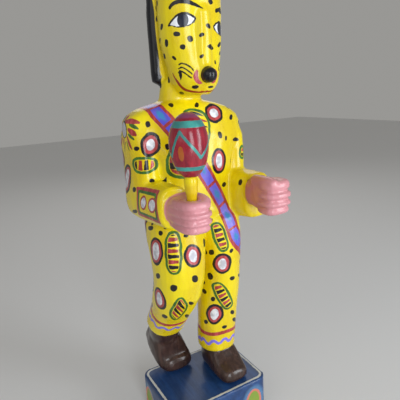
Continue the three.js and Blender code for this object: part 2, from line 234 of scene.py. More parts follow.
# %% Landmarks of the figure, in millimetres
SLEEVE_END_RIGHT = -48
SLEEVE_END_LEFT = -43
HAND_BAND = (224, 276)  # heights between which the fists lie
HOLE_BAND = (236, 272)  # and the mouth of the hole for the stick
HOLE_REACH = 7
LEFT_ARM_OUT, LEFT_ARM_FRONT = 20, -14  # the left sleeve lies beyond these, across and forwards
SHOULDER_BAND = (296, 334)
SHOULDER_OUT = 30
HEM_LEFT = 74
HEM_RIGHT = np.array([-28, 27, 104])  # middle of the raised leg's hem
HEM_RIGHT_TILT = math.radians(25)
HEM_RIGHT_UP = np.array([0, -math.sin(HEM_RIGHT_TILT), math.cos(HEM_RIGHT_TILT)])
HEM_REACH = 4  # how far the crisp edge of a hem goes up and down
SLEEVE_REACH = 5
SHOES_BELOW = 130
SOLES_BELOW = 48
NOSE = np.array([0, -38, 351.5])
NOSE_RADIUS = 6.6
HAIR_BOTTOM = 344
HAIR_FRONT = 4.8
HAIR_EDGE = 27.2  # beyond this the hair shows its own front, beside the face
HAIRLINE = 421
EAR = np.array([19, -6, 437])
STICK = np.array([-39.5, -68.5])
FEET_PART = -0.5  # the right foot is on the lesser side of this across the body
SLAB_SOFTNESS = 0.4  # the hair's, where 1 lets smoothing move it freely
FORM_SOFTNESS = 0.35  # of shoulders, left sleeve, fists and ears
SOLE_SOFTNESS = 0.3
NOSE_SOFTNESS = 0.25
EDGE_SOFTNESS = 0.15  # of sleeve ends and hems


def ramp(value, low, high):
    """0 below low, 1 above high, and a straight rise between them."""
    return np.clip((value - low) / (high - low), 0, 1)


def hem_heights(p):
    """Heights above the left and the right hem. The right one is tilted with its leg."""
    return p[:, 2] - HEM_LEFT, (p - HEM_RIGHT) @ HEM_RIGHT_UP


def within(value, low, high):
    return (value > low) & (value < high)


def in_hands(p):
    return within(p[:, 2], *HAND_BAND) & (p[:, 1] < SLEEVE_END_LEFT + SLEEVE_REACH)


def sleeve_end(p):
    return np.where(p[:, 0] < 0, SLEEVE_END_RIGHT, SLEEVE_END_LEFT)


def softness(p):
    """How freely smoothing may move each vertex: 1 on broad forms, little at crisp edges."""
    x, y, z = p.T
    hands = in_hands(p)
    left, right = hem_heights(p)
    left_hem = (x > FEET_PART) & (np.abs(left) < HEM_REACH)
    right_hem = (x < FEET_PART) & (np.abs(right) < HEM_REACH) & (z < SHOES_BELOW)
    arms = within(z, HAND_BAND[0] - 10, HAND_BAND[1])
    hole = np.hypot(x - STICK[0], y - STICK[1]) < HOLE_REACH
    weight = np.ones(len(p))
    for part, soft in (
        (within(z, HAIR_BOTTOM - 6, HAIRLINE) & (y > HAIR_FRONT), SLAB_SOFTNESS),
        (within(z, *SHOULDER_BAND) & (np.abs(x) > SHOULDER_OUT), FORM_SOFTNESS),
        (arms & (x > LEFT_ARM_OUT) & (y < LEFT_ARM_FRONT), FORM_SOFTNESS),
        (hands, FORM_SOFTNESS),
        (hands & (np.abs(y - sleeve_end(p)) < SLEEVE_REACH), EDGE_SOFTNESS),
        (left_hem | right_hem, EDGE_SOFTNESS),
        (np.linalg.norm(p - NOSE, axis=1) < NOSE_RADIUS + 3, NOSE_SOFTNESS),
        (z > HAIRLINE + 8, FORM_SOFTNESS),
        (z < SOLES_BELOW, SOLE_SOFTNESS),
        (hole & within(z, *HOLE_BAND), 0),
    ):
        weight[part] = soft
    return weight


def set_group(piece, name, weights):
    group = piece.vertex_groups.new(name=name)
    for weight in np.unique(weights):
        group.add(np.nonzero(weights == weight)[0].tolist(), float(weight), "REPLACE")


set_group(figure, "soft", softness(points_mm(figure)))
for _ in range(SMOOTHING_BLOCKS):
    for factor in (SMOOTH_IN, SWELL_BACK):
        apply_modifier(figure, "SMOOTH", factor=factor, iterations=4, vertex_group="soft")
print("smoothed with softness from", round(float(softness(points_mm(figure)).min()), 2), "to 1")

# %% [markdown]
# Nothing cut with a knife is perfectly even. A faint, broad noise along the normals leaves the shallow
# flats and hollows of the blade under the paint, which the highlights then show.

# %% Knife marks
FIGURE_CUTS = (0.9 * MM, 17 * MM)  # how deep the knife's flats are and how far apart


def knife_marks(piece, strength, wave, group=""):
    texture = bpy.data.textures.new(piece.name + " knife marks", "CLOUDS")
    texture.noise_scale = wave
    texture.noise_depth = 1
    apply_modifier(piece, "DISPLACE", texture=texture, strength=strength, mid_level=0.5,
                   texture_coords="LOCAL", vertex_group=group)


FINGER_CUTS = {
    # side: heights between the fingers, and the range along the hand over which a cut fades out
    -1: ((252.5, 246.1, 240.2), (-60, -50)),
    1: ((254.1, 246.6, 239.6), (-66, -58)),
}
CUT_DEPTH = 1.5
CUT_HALF = 1.7
LEVEL_SKIN = 0.8  # the fist's top and underside, which are more level than this, get no cut


def cut_fingers(p, n):
    """Draws a gouge along the hands between the fingers."""
    out = p.copy()
    for side, (heights, (deep, shallow)) in FINGER_CUTS.items():
        on_hand = in_hands(p) & (p[:, 0] * side > 0)
        for height in heights:
            near = np.clip(1 - ((p[:, 2] - height) / CUT_HALF) ** 2, 0, 1)
            share = near * (1 - ramp(p[:, 1], deep, shallow)) * on_hand * (np.abs(n[:, 2]) < LEVEL_SKIN)
            out -= n * (CUT_DEPTH * share)[:, None]
    return out


knife_marks(figure, *FIGURE_CUTS, "soft")
figure.vertex_groups.clear()
move_points(figure, cut_fingers(points_mm(figure), normals_of(figure)))
print("figure box (mm):", *box_mm(figure))

# %% [markdown]
# The brushwork could be drawn as a picture and wrapped round the figure, but a carving has no natural
# seams, and paint that follows the surface is wanted from all sides. So every mark is described by its
# distance: each vertex stores how many millimetres it is from the edge of the nearest mark of a kind,
# negative inside it. A shader that asks only whether the distance is below zero draws a crisp edge, and
# rings are just further steps inward.
#
# A mark is placed by a point of the photograph. A ray through that point finds the wood, and the slant of
# the surface there gives the mark's true size, so it is right from every side. Marks that the photograph
# can't show are placed by rays from the back and the sides.

# %% Places on the wood
MOST_SLANT = 3.2  # a mark at the outline is lengthened no more than this
CAMERA_MM = np.array(camera_place) / MM


class Place:
    """A point on the surface, its normal, and the steps that one unit right and one unit up make there."""

    def __init__(self, point, normal, right, up):
        self.point, self.normal, self.right, self.up = point, normal, right, up

    def mirrored(self):
        flip = np.array([-1, 1, 1])
        return Place(self.point * flip, self.normal * flip, self.right * flip, self.up * flip)

    def moved(self, across, rise):
        return Place(self.point + np.array([across, 0, rise]), self.normal, self.right, self.up)


def surface_of(piece):
    """A search tree of the piece's faces, in millimetres."""
    polygons = [tuple(face.vertices) for face in piece.data.polygons]
    return BVHTree.FromPolygons([Vector(c) for c in points_mm(piece)], polygons)


def place_by_ray(surface, origin, ray, right, up, unit=None):
    """The place that a ray meets, or None. right and up are the view's directions."""
    hit, normal, _, _ = surface.ray_cast(Vector(origin), Vector(ray))
    if hit is None:
        return None
    hit, normal, ray = np.array(hit), np.array(normal), np.array(ray)
    if unit is None:
        unit = (hit - origin) @ np.array(view_look) / FOCAL_PIXELS
    steps = []
    for way in (np.array(right), np.array(up)):
        step = way - ray * (way @ normal) / (ray @ normal)
        length = np.linalg.norm(step)
        steps.append(step * unit * min(1, MOST_SLANT / length))
    return Place(hit, normal, *steps)


def seen_at(surface, pixel):
    """The place behind a point of the photograph. A point just off the outline takes the nearest wood."""
    ray = view_look * FOCAL_PIXELS
    ray += view_right * (pixel[0] - FRAME_MIDDLE) - view_up * (pixel[1] - FRAME_MIDDLE)
    ray.normalize()
    place = place_by_ray(surface, CAMERA_MM, ray, view_right, view_up)
    if place:
        return place
    middle = CAMERA_MM + np.array(ray) * np.linalg.norm(CAMERA_MM - np.array(BODY_MIDDLE) / MM)
    hit, normal, _, _ = surface.find_nearest(Vector(middle))
    unit = np.linalg.norm(np.array(hit) - CAMERA_MM) / FOCAL_PIXELS
    away = np.cross(np.array(normal), np.array(UP))
    return Place(np.array(hit), np.array(normal), -away * unit, np.array(view_up) * unit)


RAY_START = 300
SIDE_VIEWS = {
    # name: (from which side, which way is right when seen from there)
    "back": ((0, 1, 0), (-1, 0, 0)),
    "left": ((1, 0, 0), (0, 1, 0)),
    "right": ((-1, 0, 0), (0, -1, 0)),
    "front": ((0, -1, 0), (1, 0, 0)),
}


def from_side(surface, side, across, height):
    """The place met by a level ray from one side; across is x or y in millimetres."""
    outward, right = (np.array(v, float) for v in SIDE_VIEWS[side])
    start = outward * RAY_START + np.abs(right) * across + np.array(UP) * height
    return place_by_ray(surface, start, -outward, right, UP, unit=1)


def settled(surface, place):
    """The same place moved onto the nearest wood."""
    hit, normal, _, _ = surface.find_nearest(Vector(place.point))
    return Place(np.array(hit), np.array(normal), place.right, place.up)


wood = surface_of(figure)
print("behind the nose:", seen_at(wood, (209, 75)).point.round(1))

# %% Distances to marks
FAR = 6.0  # distances are kept only up to this many millimetres outside a mark
DEEPEST = 14  # a mark doesn't reach parts that lie further than this behind or before its place
FACING = -0.2  # nor wood that faces away from its own by more than this


def leaning(place, turn):
    """The place's right and up steps, turned anticlockwise by turn degrees."""
    c, s = math.cos(math.radians(turn)), math.sin(math.radians(turn))
    return place.right * c + place.up * s, place.up * c - place.right * s


def disc_and_grid(p, n, place, wide, high, turn=0, power=2):
    """Distance from the edge of an oval, and the coordinates along its height and its width.

    power 2 is an ellipse and a larger one is boxier.
    """
    wide_step, high_step = leaning(place, turn)
    u, v = wide_step * wide / 2, high_step * high / 2
    area = np.cross(u, v) @ place.normal
    to_u, to_v = np.cross(v, place.normal) / area, np.cross(place.normal, u) / area
    size = max(np.linalg.norm(u), np.linalg.norm(v))
    offset = p - place.point
    near = ((offset ** 2).sum(1) < (1.5 * size + FAR) ** 2) & (n @ place.normal > FACING)
    near &= np.abs(offset @ place.normal) < min(0.85 * size + 2, DEEPEST)
    a, b = offset[near] @ to_u, offset[near] @ to_v
    k = (np.abs(a) ** power + np.abs(b) ** power) ** (1 / power) + 1e-6
    slope = np.sign(a)[:, None] * (np.abs(a) / k)[:, None] ** (power - 1) * to_u
    slope = slope + np.sign(b)[:, None] * (np.abs(b) / k)[:, None] ** (power - 1) * to_v
    distance = np.full(len(p), FAR)
    distance[near] = np.minimum((k - 1) / (np.linalg.norm(slope, axis=1) + 1e-6), FAR)
    along, across = np.zeros(len(p)), np.zeros(len(p))
    along[near], across[near] = b * np.linalg.norm(v), a * np.linalg.norm(u)
    return distance, along, across


def disc(*oval):
    return disc_and_grid(*oval)[0]


def from_stretch(p, a, b):
    """How far points lie from the straight stretch a to b, and how far along it, 0 to 1."""
    step = b - a
    t = np.clip((p - a) @ step / (step @ step + 1e-9), 0, 1)
    return np.linalg.norm(p - a - t[:, None] * step, axis=1), t


def line(p, path, widths):
    """Distance from the edge of a brush line through 3-D points, with a width at each point."""
    distance = np.full(len(p), FAR)
    reach = FAR + max(widths)
    low, high = np.min(path, axis=0) - reach, np.max(path, axis=0) + reach
    near = np.nonzero(((p > low) & (p < high)).all(1))[0]
    q = p[near]
    best = np.full(len(q), FAR)
    for a, b, wide_a, wide_b in zip(path[:-1], path[1:], widths[:-1], widths[1:]):
        gap, t = from_stretch(q, a, b)
        best = np.minimum(best, gap - (wide_a + t * (wide_b - wide_a)) / 2)
    distance[near] = best
    return distance


def patch(p, n, places):
    """Distance from the edge of a shape whose outline runs through the places."""
    corners = np.array([place.point for place in places])
    middle = corners.mean(0)
    normal = np.mean([place.normal for place in places], axis=0)
    normal /= np.linalg.norm(normal)
    x_way = np.cross(np.array(UP), normal)
    x_way /= np.linalg.norm(x_way)
    y_way = np.cross(normal, x_way)
    flat = np.stack([(corners - middle) @ x_way, (corners - middle) @ y_way], 1)
    offset = p - middle
    size = np.linalg.norm(flat, axis=1).max()
    near = ((offset ** 2).sum(1) < (1.4 * size + FAR) ** 2) & (n @ normal > FACING / 2)
    near &= np.abs(offset @ normal) < size * 0.8 + 2
    q = np.stack([offset[near] @ x_way, offset[near] @ y_way], 1)
    best, inside = np.full(len(q), FAR), np.zeros(len(q), bool)
    for a, b in zip(flat, np.roll(flat, -1, axis=0)):
        best = np.minimum(best, from_stretch(q, a, b)[0])
        crosses = (a[1] > q[:, 1]) != (b[1] > q[:, 1])
        where = a[0] + (q[:, 1] - a[1]) * (b[0] - a[0]) / (b[1] - a[1] + 1e-9)
        inside ^= crosses & (q[:, 0] < where)
    distance = np.full(len(p), FAR)
    distance[near] = np.where(inside, -best, best)
    return distance


def eased(points, steps=4):
    """Points on a smooth curve through the given ones."""
    points = np.array(points, float)
    ends = np.vstack([2 * points[0] - points[1], points, 2 * points[-1] - points[-2]])
    curve = []
    for a, b, c, d in zip(ends, ends[1:], ends[2:], ends[3:]):
        for t in np.arange(steps) / steps:
            curve.append(0.5 * (2 * b + (c - a) * t + (2 * a - 5 * b + 4 * c - d) * t ** 2
                                + (3 * b - a - 3 * c + d) * t ** 3))
    return np.array(curve + [points[-1]])


print("three kinds of mark: disc, line and patch")

# %% [markdown]
# The face. The near eye is a white almond in a black outline with a dark iris, under a thick arched brow.
# The far eye is the same shape mirrored, and the painter set it a little lower. Three thin whiskers, a
# cheek mark, a red nostril and a red-brown mouth line follow. All are named by points of the photograph.

# %% Face marks
EYE_OUTLINE = [(168.4, 25.7), (170.4, 22.3), (173.3, 18.9), (177.1, 15.2), (183, 12.8), (188.8, 13.9),
               (192.7, 16), (195.3, 18.4), (193.6, 21.8), (190.7, 24.2), (186.8, 25.9), (183, 26.7),
               (177.1, 26.9), (172.8, 25.9)]
EYE_MIDDLE = (182.8, 20)
IRIS_SIZE = (11.6, 14.5)
BROW = [(169.8, 7.8), (171.6, 5), (175.2, 2.6), (181, 1.2), (186.8, 1.6), (192.7, 3.4), (198.5, 6.2),
        (203.3, 8.6)]
BROW_WIDTHS = [4, 4.3, 4.5, 4.9, 4.8, 4.2, 3, 1.2]
FAR_BROW_END = [(220.4, 9.4), (216.2, 10.6)]  # the blunt inner end that shows of the far brow
FAR_BROW_WIDTH = 4.8
WHISKERS = [
    [(179, 64.6), (181.5, 63.3), (185.5, 64.3), (189, 66), (191.5, 68), (193.5, 70.6)],
    [(178.5, 68.8), (181, 67.4), (183.5, 67.9), (187, 70), (190, 72.2), (192, 74)],
    [(178.3, 72.6), (180.5, 71.4), (183.5, 72.2), (187, 74.6), (189.5, 76.6), (191.6, 77.7)],
]
WHISKER_WIDTH = 1.8
CHEEK_MARK = [(180, 71.8), (180.6, 75), (180.7, 79.5)]
CHEEK_WIDTHS = [3.6, 5, 1.4]
NOSTRIL = [(196.6, 69.3), (194.6, 71.5), (193.5, 75), (193.8, 79), (196.2, 82.6), (199.4, 84.2),
           (202.6, 83.4), (201.2, 81.6), (199, 79.4), (198.2, 75.5), (198, 71.5)]
MOUTH = [(172.6, 73.2), (174.5, 77.3), (177.6, 82), (181, 86.6), (185, 89.6), (190, 91.2), (198, 92.2),
         (204, 91.9), (207.8, 90.6)]
MOUTH_WIDTHS = [1.4, 2.6, 4.4, 5.4, 4.8, 3.6, 3, 2.6, 1.4]
UPPER_LID = 9  # so many points of the eye's outline belong to the upper lid
UPPER_LID_WIDTH = 2.3
LOWER_LID_WIDTH = 1.3
FAR_EYE_MOVE = (3.6, -5.5)  # the far eye was painted further out and lower, in millimetres
FAR_WHISKER_MOVE = (3, 0)
IRIS_INSET = 0.2
FACE_STROKES = [
    # paint, points, widths along them in pixels, and the move of the far side's copy
    ("black", EYE_OUTLINE[:UPPER_LID], [UPPER_LID_WIDTH], FAR_EYE_MOVE),
    ("black", EYE_OUTLINE[UPPER_LID - 1:] + EYE_OUTLINE[:1], [LOWER_LID_WIDTH], FAR_EYE_MOVE),
    ("black", CHEEK_MARK, CHEEK_WIDTHS, (0, 0)), ("mouth", MOUTH, MOUTH_WIDTHS, (0, 0)),
    *(("black", whisker, [WHISKER_WIDTH], FAR_WHISKER_MOVE) for whisker in WHISKERS),
]


def both_sides(pixels, move=(0, 0)):
    """The places behind the pixels, and their mirror images, moved across and up, on the far side."""
    near = [seen_at(wood, pixel) for pixel in pixels]
    far = [settled(wood, place.mirrored().moved(*move)) for place in near]
    return near, far


def spread_over(widths, count):
    """The widths stretched evenly over a number of points."""
    return np.interp(np.linspace(0, 1, count), np.linspace(0, 1, len(widths)), widths)


def points_of(places):
    return np.array([place.point for place in places])


def add(field, name, distance):
    """Joins a mark to the others of its kind."""
    field[name] = np.minimum(field[name], distance)


def paint_eyes(p, n, field):
    for places in both_sides(eased(EYE_OUTLINE + EYE_OUTLINE[:1]), FAR_EYE_MOVE):
        add(field, "white", patch(p, n, places))
    for (place,) in both_sides([EYE_MIDDLE], FAR_EYE_MOVE):
        iris = disc(p, n, place, *IRIS_SIZE)
        add(field, "iris", np.maximum(iris, field["white"] + IRIS_INSET))


def paint_brows(p, field, unit):
    near, far = both_sides(eased(BROW), FAR_EYE_MOVE)
    add(field, "black", line(p, points_of(near), spread_over(BROW_WIDTHS, len(near)) * unit))
    outer = len(near) // 2
    end = [seen_at(wood, pixel).point for pixel in FAR_BROW_END]
    path = np.vstack([points_of(far[:outer]), end])
    widths = list(spread_over(BROW_WIDTHS[:5], outer)) + [FAR_BROW_WIDTH] * len(end)
    add(field, "black", line(p, path, np.array(widths) * unit))


def paint_face(p, n, field):
    unit = seen_at(wood, EYE_MIDDLE).up @ np.array(view_up)  # millimetres to a pixel on the face
    paint_eyes(p, n, field)
    paint_brows(p, field, unit)
    for places in both_sides(eased(NOSTRIL + NOSTRIL[:1], 3)):
        add(field, "nostril", patch(p, n, places))
    for paint, pixels, widths, move in FACE_STROKES:
        for places in both_sides(eased(pixels), move):
            add(field, paint, line(p, points_of(places), spread_over(widths, len(places)) * unit))


print("face marks:", len(WHISKERS), "whiskers a side")

# %% [markdown]
# The suit. Rosettes are a pale centre, a red ring and a black one. The green ovals hold a row of short
# strokes in red and black. Small black dabs fill the ground between them. The lists give the middle of
# each mark in the photograph, its width and height in pixels, and its lean.

# %% Suit marks that the photograph shows
ROSETTES = [
    (150.5, 144.8, 20.5, 24.5, -14), (214, 113, 17.5, 21, 26), (219.3, 161, 15, 26, 0),
    (127, 179, 8, 29, 0), (155.7, 251.5, 11, 28.5, 8), (193.1, 256, 18.4, 23.5, 0),
    (222.5, 264, 19, 20.5, -20), (214.4, 314.5, 17.8, 20, 0), (159, 299, 9.5, 24, 14),
    (200, 205, 26, 25, 0),
]
OVALS = [
    # the last number is the lean of the long side from upright
    (143.2, 165.6, 17, 26, 90), (173.2, 254, 18, 44, 2), (220.3, 237.3, 14, 31, 18),
    (223.7, 297, 14.5, 29.5, 30), (178.7, 310.8, 13, 22, -42), (191, 142.5, 37, 72, -14),
    (242.3, 152, 5, 14, 0),
]
SPOTS = [
    (148, 124, 5, 6, 20), (136.5, 149, 5, 4, 0), (167.5, 147, 4, 6, 0), (130.7, 111, 5, 2.5, 30),
    (220, 135, 3.5, 7, 10), (226, 138, 2, 4.5, 0), (235, 139.5, 4.5, 3.5, 20), (231, 117, 3, 5, 0),
    (224, 184.5, 3, 5, -30), (240.3, 182, 3.5, 6, -15), (248, 181, 1.5, 3.5, -20),
    (152, 181, 5, 3.5, 0), (164.5, 181, 5, 3, 10), (134, 189.5, 3, 5, 0), (134.7, 211.5, 5, 3, 0),
    (150.3, 228, 5, 4, 0), (160.5, 233.5, 4, 4.5, 0), (186, 235.5, 5, 3.5, 0), (204.5, 243, 2, 8, 0),
    (158, 276, 4, 5.5, 10), (195, 279, 6, 7, 0), (173.5, 288.5, 6.5, 6.5, -20), (211.5, 252.5, 5, 5, 0),
    (231.5, 250.5, 3, 4.5, -30), (210, 276, 5, 7, 20), (232.5, 278, 5, 3.5, 25), (239, 275, 2, 3, 0),
    (204, 291, 3.5, 5.5, 40), (213, 299, 4.5, 4.5, 0), (232.5, 312, 3.5, 4, 0), (234.5, 319.5, 3, 4, 0),
    (206, 322, 3.5, 4, 20), (224.5, 327, 5, 3.2, 15), (191.5, 303.5, 5, 3, 0), (187.5, 316, 4, 4, 0),
    (164.5, 316.5, 5.5, 3, -30), (152, 305, 3, 4.5, 0), (158.5, 95, 3, 5, 0), (171, 104.5, 5, 4, -30),
    (196.8, 104.8, 4.2, 4.5, 0),
]
FACE_SPOTS = [
    (157, 3.5, 1.6, 6, 0), (157, 19, 1.6, 6, 0), (161.7, 27, 2.4, 6.5, -8), (159.7, 41, 1.4, 6, 0),
    (166.4, 43, 2.8, 7.5, 6), (176.5, 34, 6, 4, 0), (190.2, 39, 5, 5.8, 15), (201.5, 35, 5.4, 3, 30),
    (208.5, 26, 3.6, 5, 40), (210.5, 1.5, 4, 5.5, 20), (219.4, 44.5, 2.4, 5, -15),
    (182.7, 47, 6, 5.2, -20), (211.2, 47.3, 3.6, 5.4, 35), (201.9, 56, 5, 3.2, 35),
    (174.3, 58.3, 5.2, 2.6, -40), (164.6, 56.5, 1.6, 5, 15), (215.2, 62, 1.4, 4, 10),
    (219.7, 53.5, 1.4, 4, -10), (169, 80, 1.8, 6, 5), (195.3, 87, 7, 3.8, 5), (210.8, 87, 5, 2.4, 5),
    (181.7, 93.2, 5, 2.4, -20),
]
DAB_SWELL = 0.15  # a dab is this much larger all round, in millimetres
HAND_MARKS = 0.25  # how far a mark's outline strays from an ellipse, in millimetres
STRAY_WAVES = np.array([0.42, 0.35, 0.5])


def place_all(surface, marks):
    """Each mark as its place on the wood and its width, height and lean."""
    return [(seen_at(surface, mark[:2]), *mark[2:]) for mark in marks]


rosettes = place_all(wood, ROSETTES)
ovals = place_all(wood, OVALS)
spots = place_all(wood, SPOTS + FACE_SPOTS)
print("seen marks:", len(rosettes), "rosettes,", len(ovals), "ovals,", len(spots), "dabs")

# %% Suit marks on the hidden sides
HIDDEN_ROSETTES = [
    # side, across, height, width, height and lean, in millimetres
    ("back", -28, 292, 20, 23, 10), ("back", 24, 300, 19, 21, -15), ("back", -4, 222, 19, 22, 0),
    ("back", 26, 268, 18, 21, 10), ("back", -30, 166, 19, 23, 0), ("back", 24, 132, 18, 21, -10),
    ("left", 8, 288, 18, 22, 0), ("left", -8, 250, 17, 21, 0), ("left", 2, 158, 19, 23, 10),
    ("left", 4, 104, 17, 20, 0), ("right", 16, 226, 18, 22, 0), ("right", 20, 286, 16, 20, 0),
    ("back", 30, 190, 18, 21, 20),
]
HIDDEN_OVALS = [
    ("back", 4, 322, 14, 26, 62), ("back", -22, 256, 15, 29, -20), ("back", -26, 204, 14, 27, 10),
    ("back", 22, 160, 15, 29, -14), ("left", -4, 190, 14, 28, 12), ("left", 14, 128, 14, 27, -10),
    ("back", -28, 132, 13, 25, 8), ("left", 16, 262, 13, 24, 0), ("right", 8, 166, 14, 27, -8),
]
SPOT_SPACING = 12.5
SPOT_CLEARANCE = 3.0
MOST_DOWNWARD = -0.45  # undersides that face down more than this get no dabs
rng = np.random.default_rng(8)


def hidden(marks):
    """The marks of the hidden sides with their places, without those whose ray meets no wood."""
    found = [(from_side(wood, side, across, height), *size) for side, across, height, *size in marks]
    return [mark for mark in found if mark[0] is not None]


rosettes += hidden(HIDDEN_ROSETTES)
ovals += hidden(HIDDEN_OVALS)
print("with the hidden sides:", len(rosettes), "rosettes and", len(ovals), "ovals")

# %% [markdown]
# The sash runs from the right shoulder across the chest to the left hip, round it, and up the back. It is a
# ribbon along a path on the wood: each vertex stores how far it is along the path and across it. The
# shader turns the two into brick-red borders, violet panels, blue lozenges and red bars.

# %% The sash's path
SASH_SEEN = [(149.5, 106), (158.5, 113), (166, 120.8), (177, 134), (191, 152.3), (203.5, 170.6),
             (209.8, 181.5), (216.8, 193.8), (223.6, 207.5), (230.3, 221), (236, 236)]
SASH_UNSEEN = [
    # side, across, height, in millimetres
    ("left", -6, 172), ("left", 6, 165), ("left", 18, 172), ("back", 32, 194), ("back", 19, 222),
    ("back", 4, 250), ("back", -10, 276), ("back", -26, 304), ("back", -36, 322),
]
SASH_BARS = [(151, 109), (168, 124), (189, 151), (211, 185), (221.2, 205.6), (231.5, 229.2)]
SASH_BAR_STEP = 22.5  # from one red bar to the next where they can't be seen
SASH_HALF = 8  # at the shoulder, in millimetres
SASH_ABOVE, SASH_BEHIND = 150, -36  # it is painted only higher than the one and behind the other
SASH_WIDTHS = [(185, 9), (205, 8.4), (218, 7.8), (235, 6.9), (262, 6.9), (312, SASH_HALF)]


def sash_path():
    seen = [seen_at(wood, pixel).point for pixel in SASH_SEEN]
    unseen = [from_side(wood, *place).point for place in SASH_UNSEEN]
    return eased(seen + unseen + seen[:1])


def half_widths(path):
    """Half the sash's width at each point by its height: it is widest round the hip, at its lowest."""
    heights, halves = zip(*SASH_WIDTHS)
    return np.interp(path[:, 2], heights, halves)


def bars_along(path, starts):
    """How far along the path its bars lie: the seen ones by their pixels, and the others at even steps."""
    bars = [starts[np.argmin(np.linalg.norm(path[:-1] - seen_at(wood, pixel).point, axis=1))]
            for pixel in SASH_BARS]
    length = starts[-1]
    count = round((length - bars[-1]) / SASH_BAR_STEP)
    return np.array(bars + [bars[-1] + (length - bars[-1]) * (i + 1) / count for i in range(count)])


def paint_sash(p, field):
    path = sash_path()
    lengths = np.linalg.norm(np.diff(path, axis=0), axis=1)
    starts = np.concatenate([[0], np.cumsum(lengths)[:-1]])
    widths = half_widths(path)
    gap, along, half = np.full(len(p), np.inf), np.zeros(len(p)), np.full(len(p), SASH_HALF)
    for a, b, start, length, wide_a, wide_b in zip(path, path[1:], starts, lengths, widths, widths[1:]):
        distance, t = from_stretch(p, a, b)
        closer = distance < gap
        gap = np.where(closer, distance, gap)
        along = np.where(closer, start + t * length, along)
        half = np.where(closer, wide_a + (wide_b - wide_a) * t, half)
    on_trunk = (p[:, 2] > SASH_ABOVE) & (p[:, 1] > SASH_BEHIND)
    field["sash"] = np.where(on_trunk, np.minimum(gap - half, FAR), FAR)
    field["sash_across"] = gap / half * SASH_HALF
    bars = bars_along(path, starts)
    for name, places in (("sash_bar", bars), ("sash_middle", (bars[:-1] + bars[1:]) / 2)):
        field[name] = np.minimum(np.abs(along[:, None] - places).min(1), FAR * 2)


print("sash path of", len(sash_path()), "points")

# %% [markdown]
# A sunburst is painted on each shoulder: a grey-white oval with red and green petals round it. The right
# forearm has a square patch with a red and a green border and two small rosettes, and each trouser hem has
# a red line over a violet wave.

# %% Shoulders, sleeve patch and hems
SUNBURST = (5, 310.5)  # along the body and height, on the right shoulder
SUNBURST_SIZE = (13, 15)
PETALS_SEEN = [
    # start and end in the photograph, width in pixels and colour
    ((126, 121.4), (138.8, 122.6), 4.6, "red"), ((130, 124.6), (137.8, 128.6), 3.2, "green"),
    ((128.4, 129.9), (135.6, 135), 4.6, "red"), ((128.4, 134.6), (134, 139.6), 2.6, "green"),
    ((127.2, 137.1), (131.9, 149.2), 3.2, "red"), ((126.7, 141.3), (130, 151.9), 1.5, "green"),
    ((125.6, 142), (124.8, 151.6), 1.5, "green"), ((124, 138.7), (123.9, 144.6), 2.4, "red"),
]
PETALS_HIDDEN = [
    # angle round the oval, anticlockwise from the front as seen from the right, length and width
    (84, 8, 3.4, "red"), (110, 7, 3, "green"), (136, 9, 3.6, "red"), (160, 8, 3, "green"),
    (184, 10, 3.8, "red"), (208, 8, 3, "green"), (232, 9, 3.4, "red"),
]
PETAL_START = 10.5  # where a hidden petal begins, out from the oval's middle
PETAL_TAPER = np.array([0.9, 1.3, 1.2, 0.6])  # its widths at four places along it
OUTLINE_WIDTH = 1.2  # of the black line round the oval
PATCH_CORNERS = [(136.3, 186.6), (160.4, 190.2), (161.6, 224.5), (139, 215)]
PATCH_ROSETTES = [(143.2, 203, 6.4, 14.5, 0), (151.8, 205.6, 8, 15.5, 0)]
HEM_LINES = (22.5, 24)  # height of the red line above the left and the right hem
HEM_WAVES = (12, 16)  # and of the violet wave
HEM_LINE_WIDTH = 4.3
WAVE_WIDTH = 3.2
WAVE_SWING = 2.0
WAVE_LENGTH = 11.5
LEFT_LEG_X, LEFT_LEG_Y = 20, 3
LEG_RADIUS = 19
LEGS_BELOW = 150
HEM_STRAY = 0.8  # how far a hem's lines wander up and down


def petal(p, field, first, last, width, colour):
    """A tapered stroke from one point to another on the near wood, and its mirror image."""
    for flip in (np.ones(3), np.array([-1, 1, 1])):
        path = [settled(wood, Place((first + (last - first) * t) * flip, 0, 0, 0)).point
                for t in (0, 0.35, 0.7, 1)]
        add(field, colour, line(p, path, PETAL_TAPER * width))


def paint_sunbursts(p, n, field):
    right = from_side(wood, "right", *SUNBURST)
    for place in (right, settled(wood, from_side(wood, "left", *SUNBURST))):
        oval = disc(p, n, place, *SUNBURST_SIZE)
        add(field, "pale", oval + OUTLINE_WIDTH)
        add(field, "black", np.maximum(oval, -oval - OUTLINE_WIDTH))
    for start, end, width, colour in PETALS_SEEN:
        first, last = seen_at(wood, start), seen_at(wood, end)
        petal(p, field, first.point, last.point, width * (last.up @ np.array(view_up)), colour)
    for angle, length, width, colour in PETALS_HIDDEN:
        way, _ = leaning(right, angle)
        first = right.point + way * PETAL_START
        petal(p, field, first, first + way * length, width, colour)


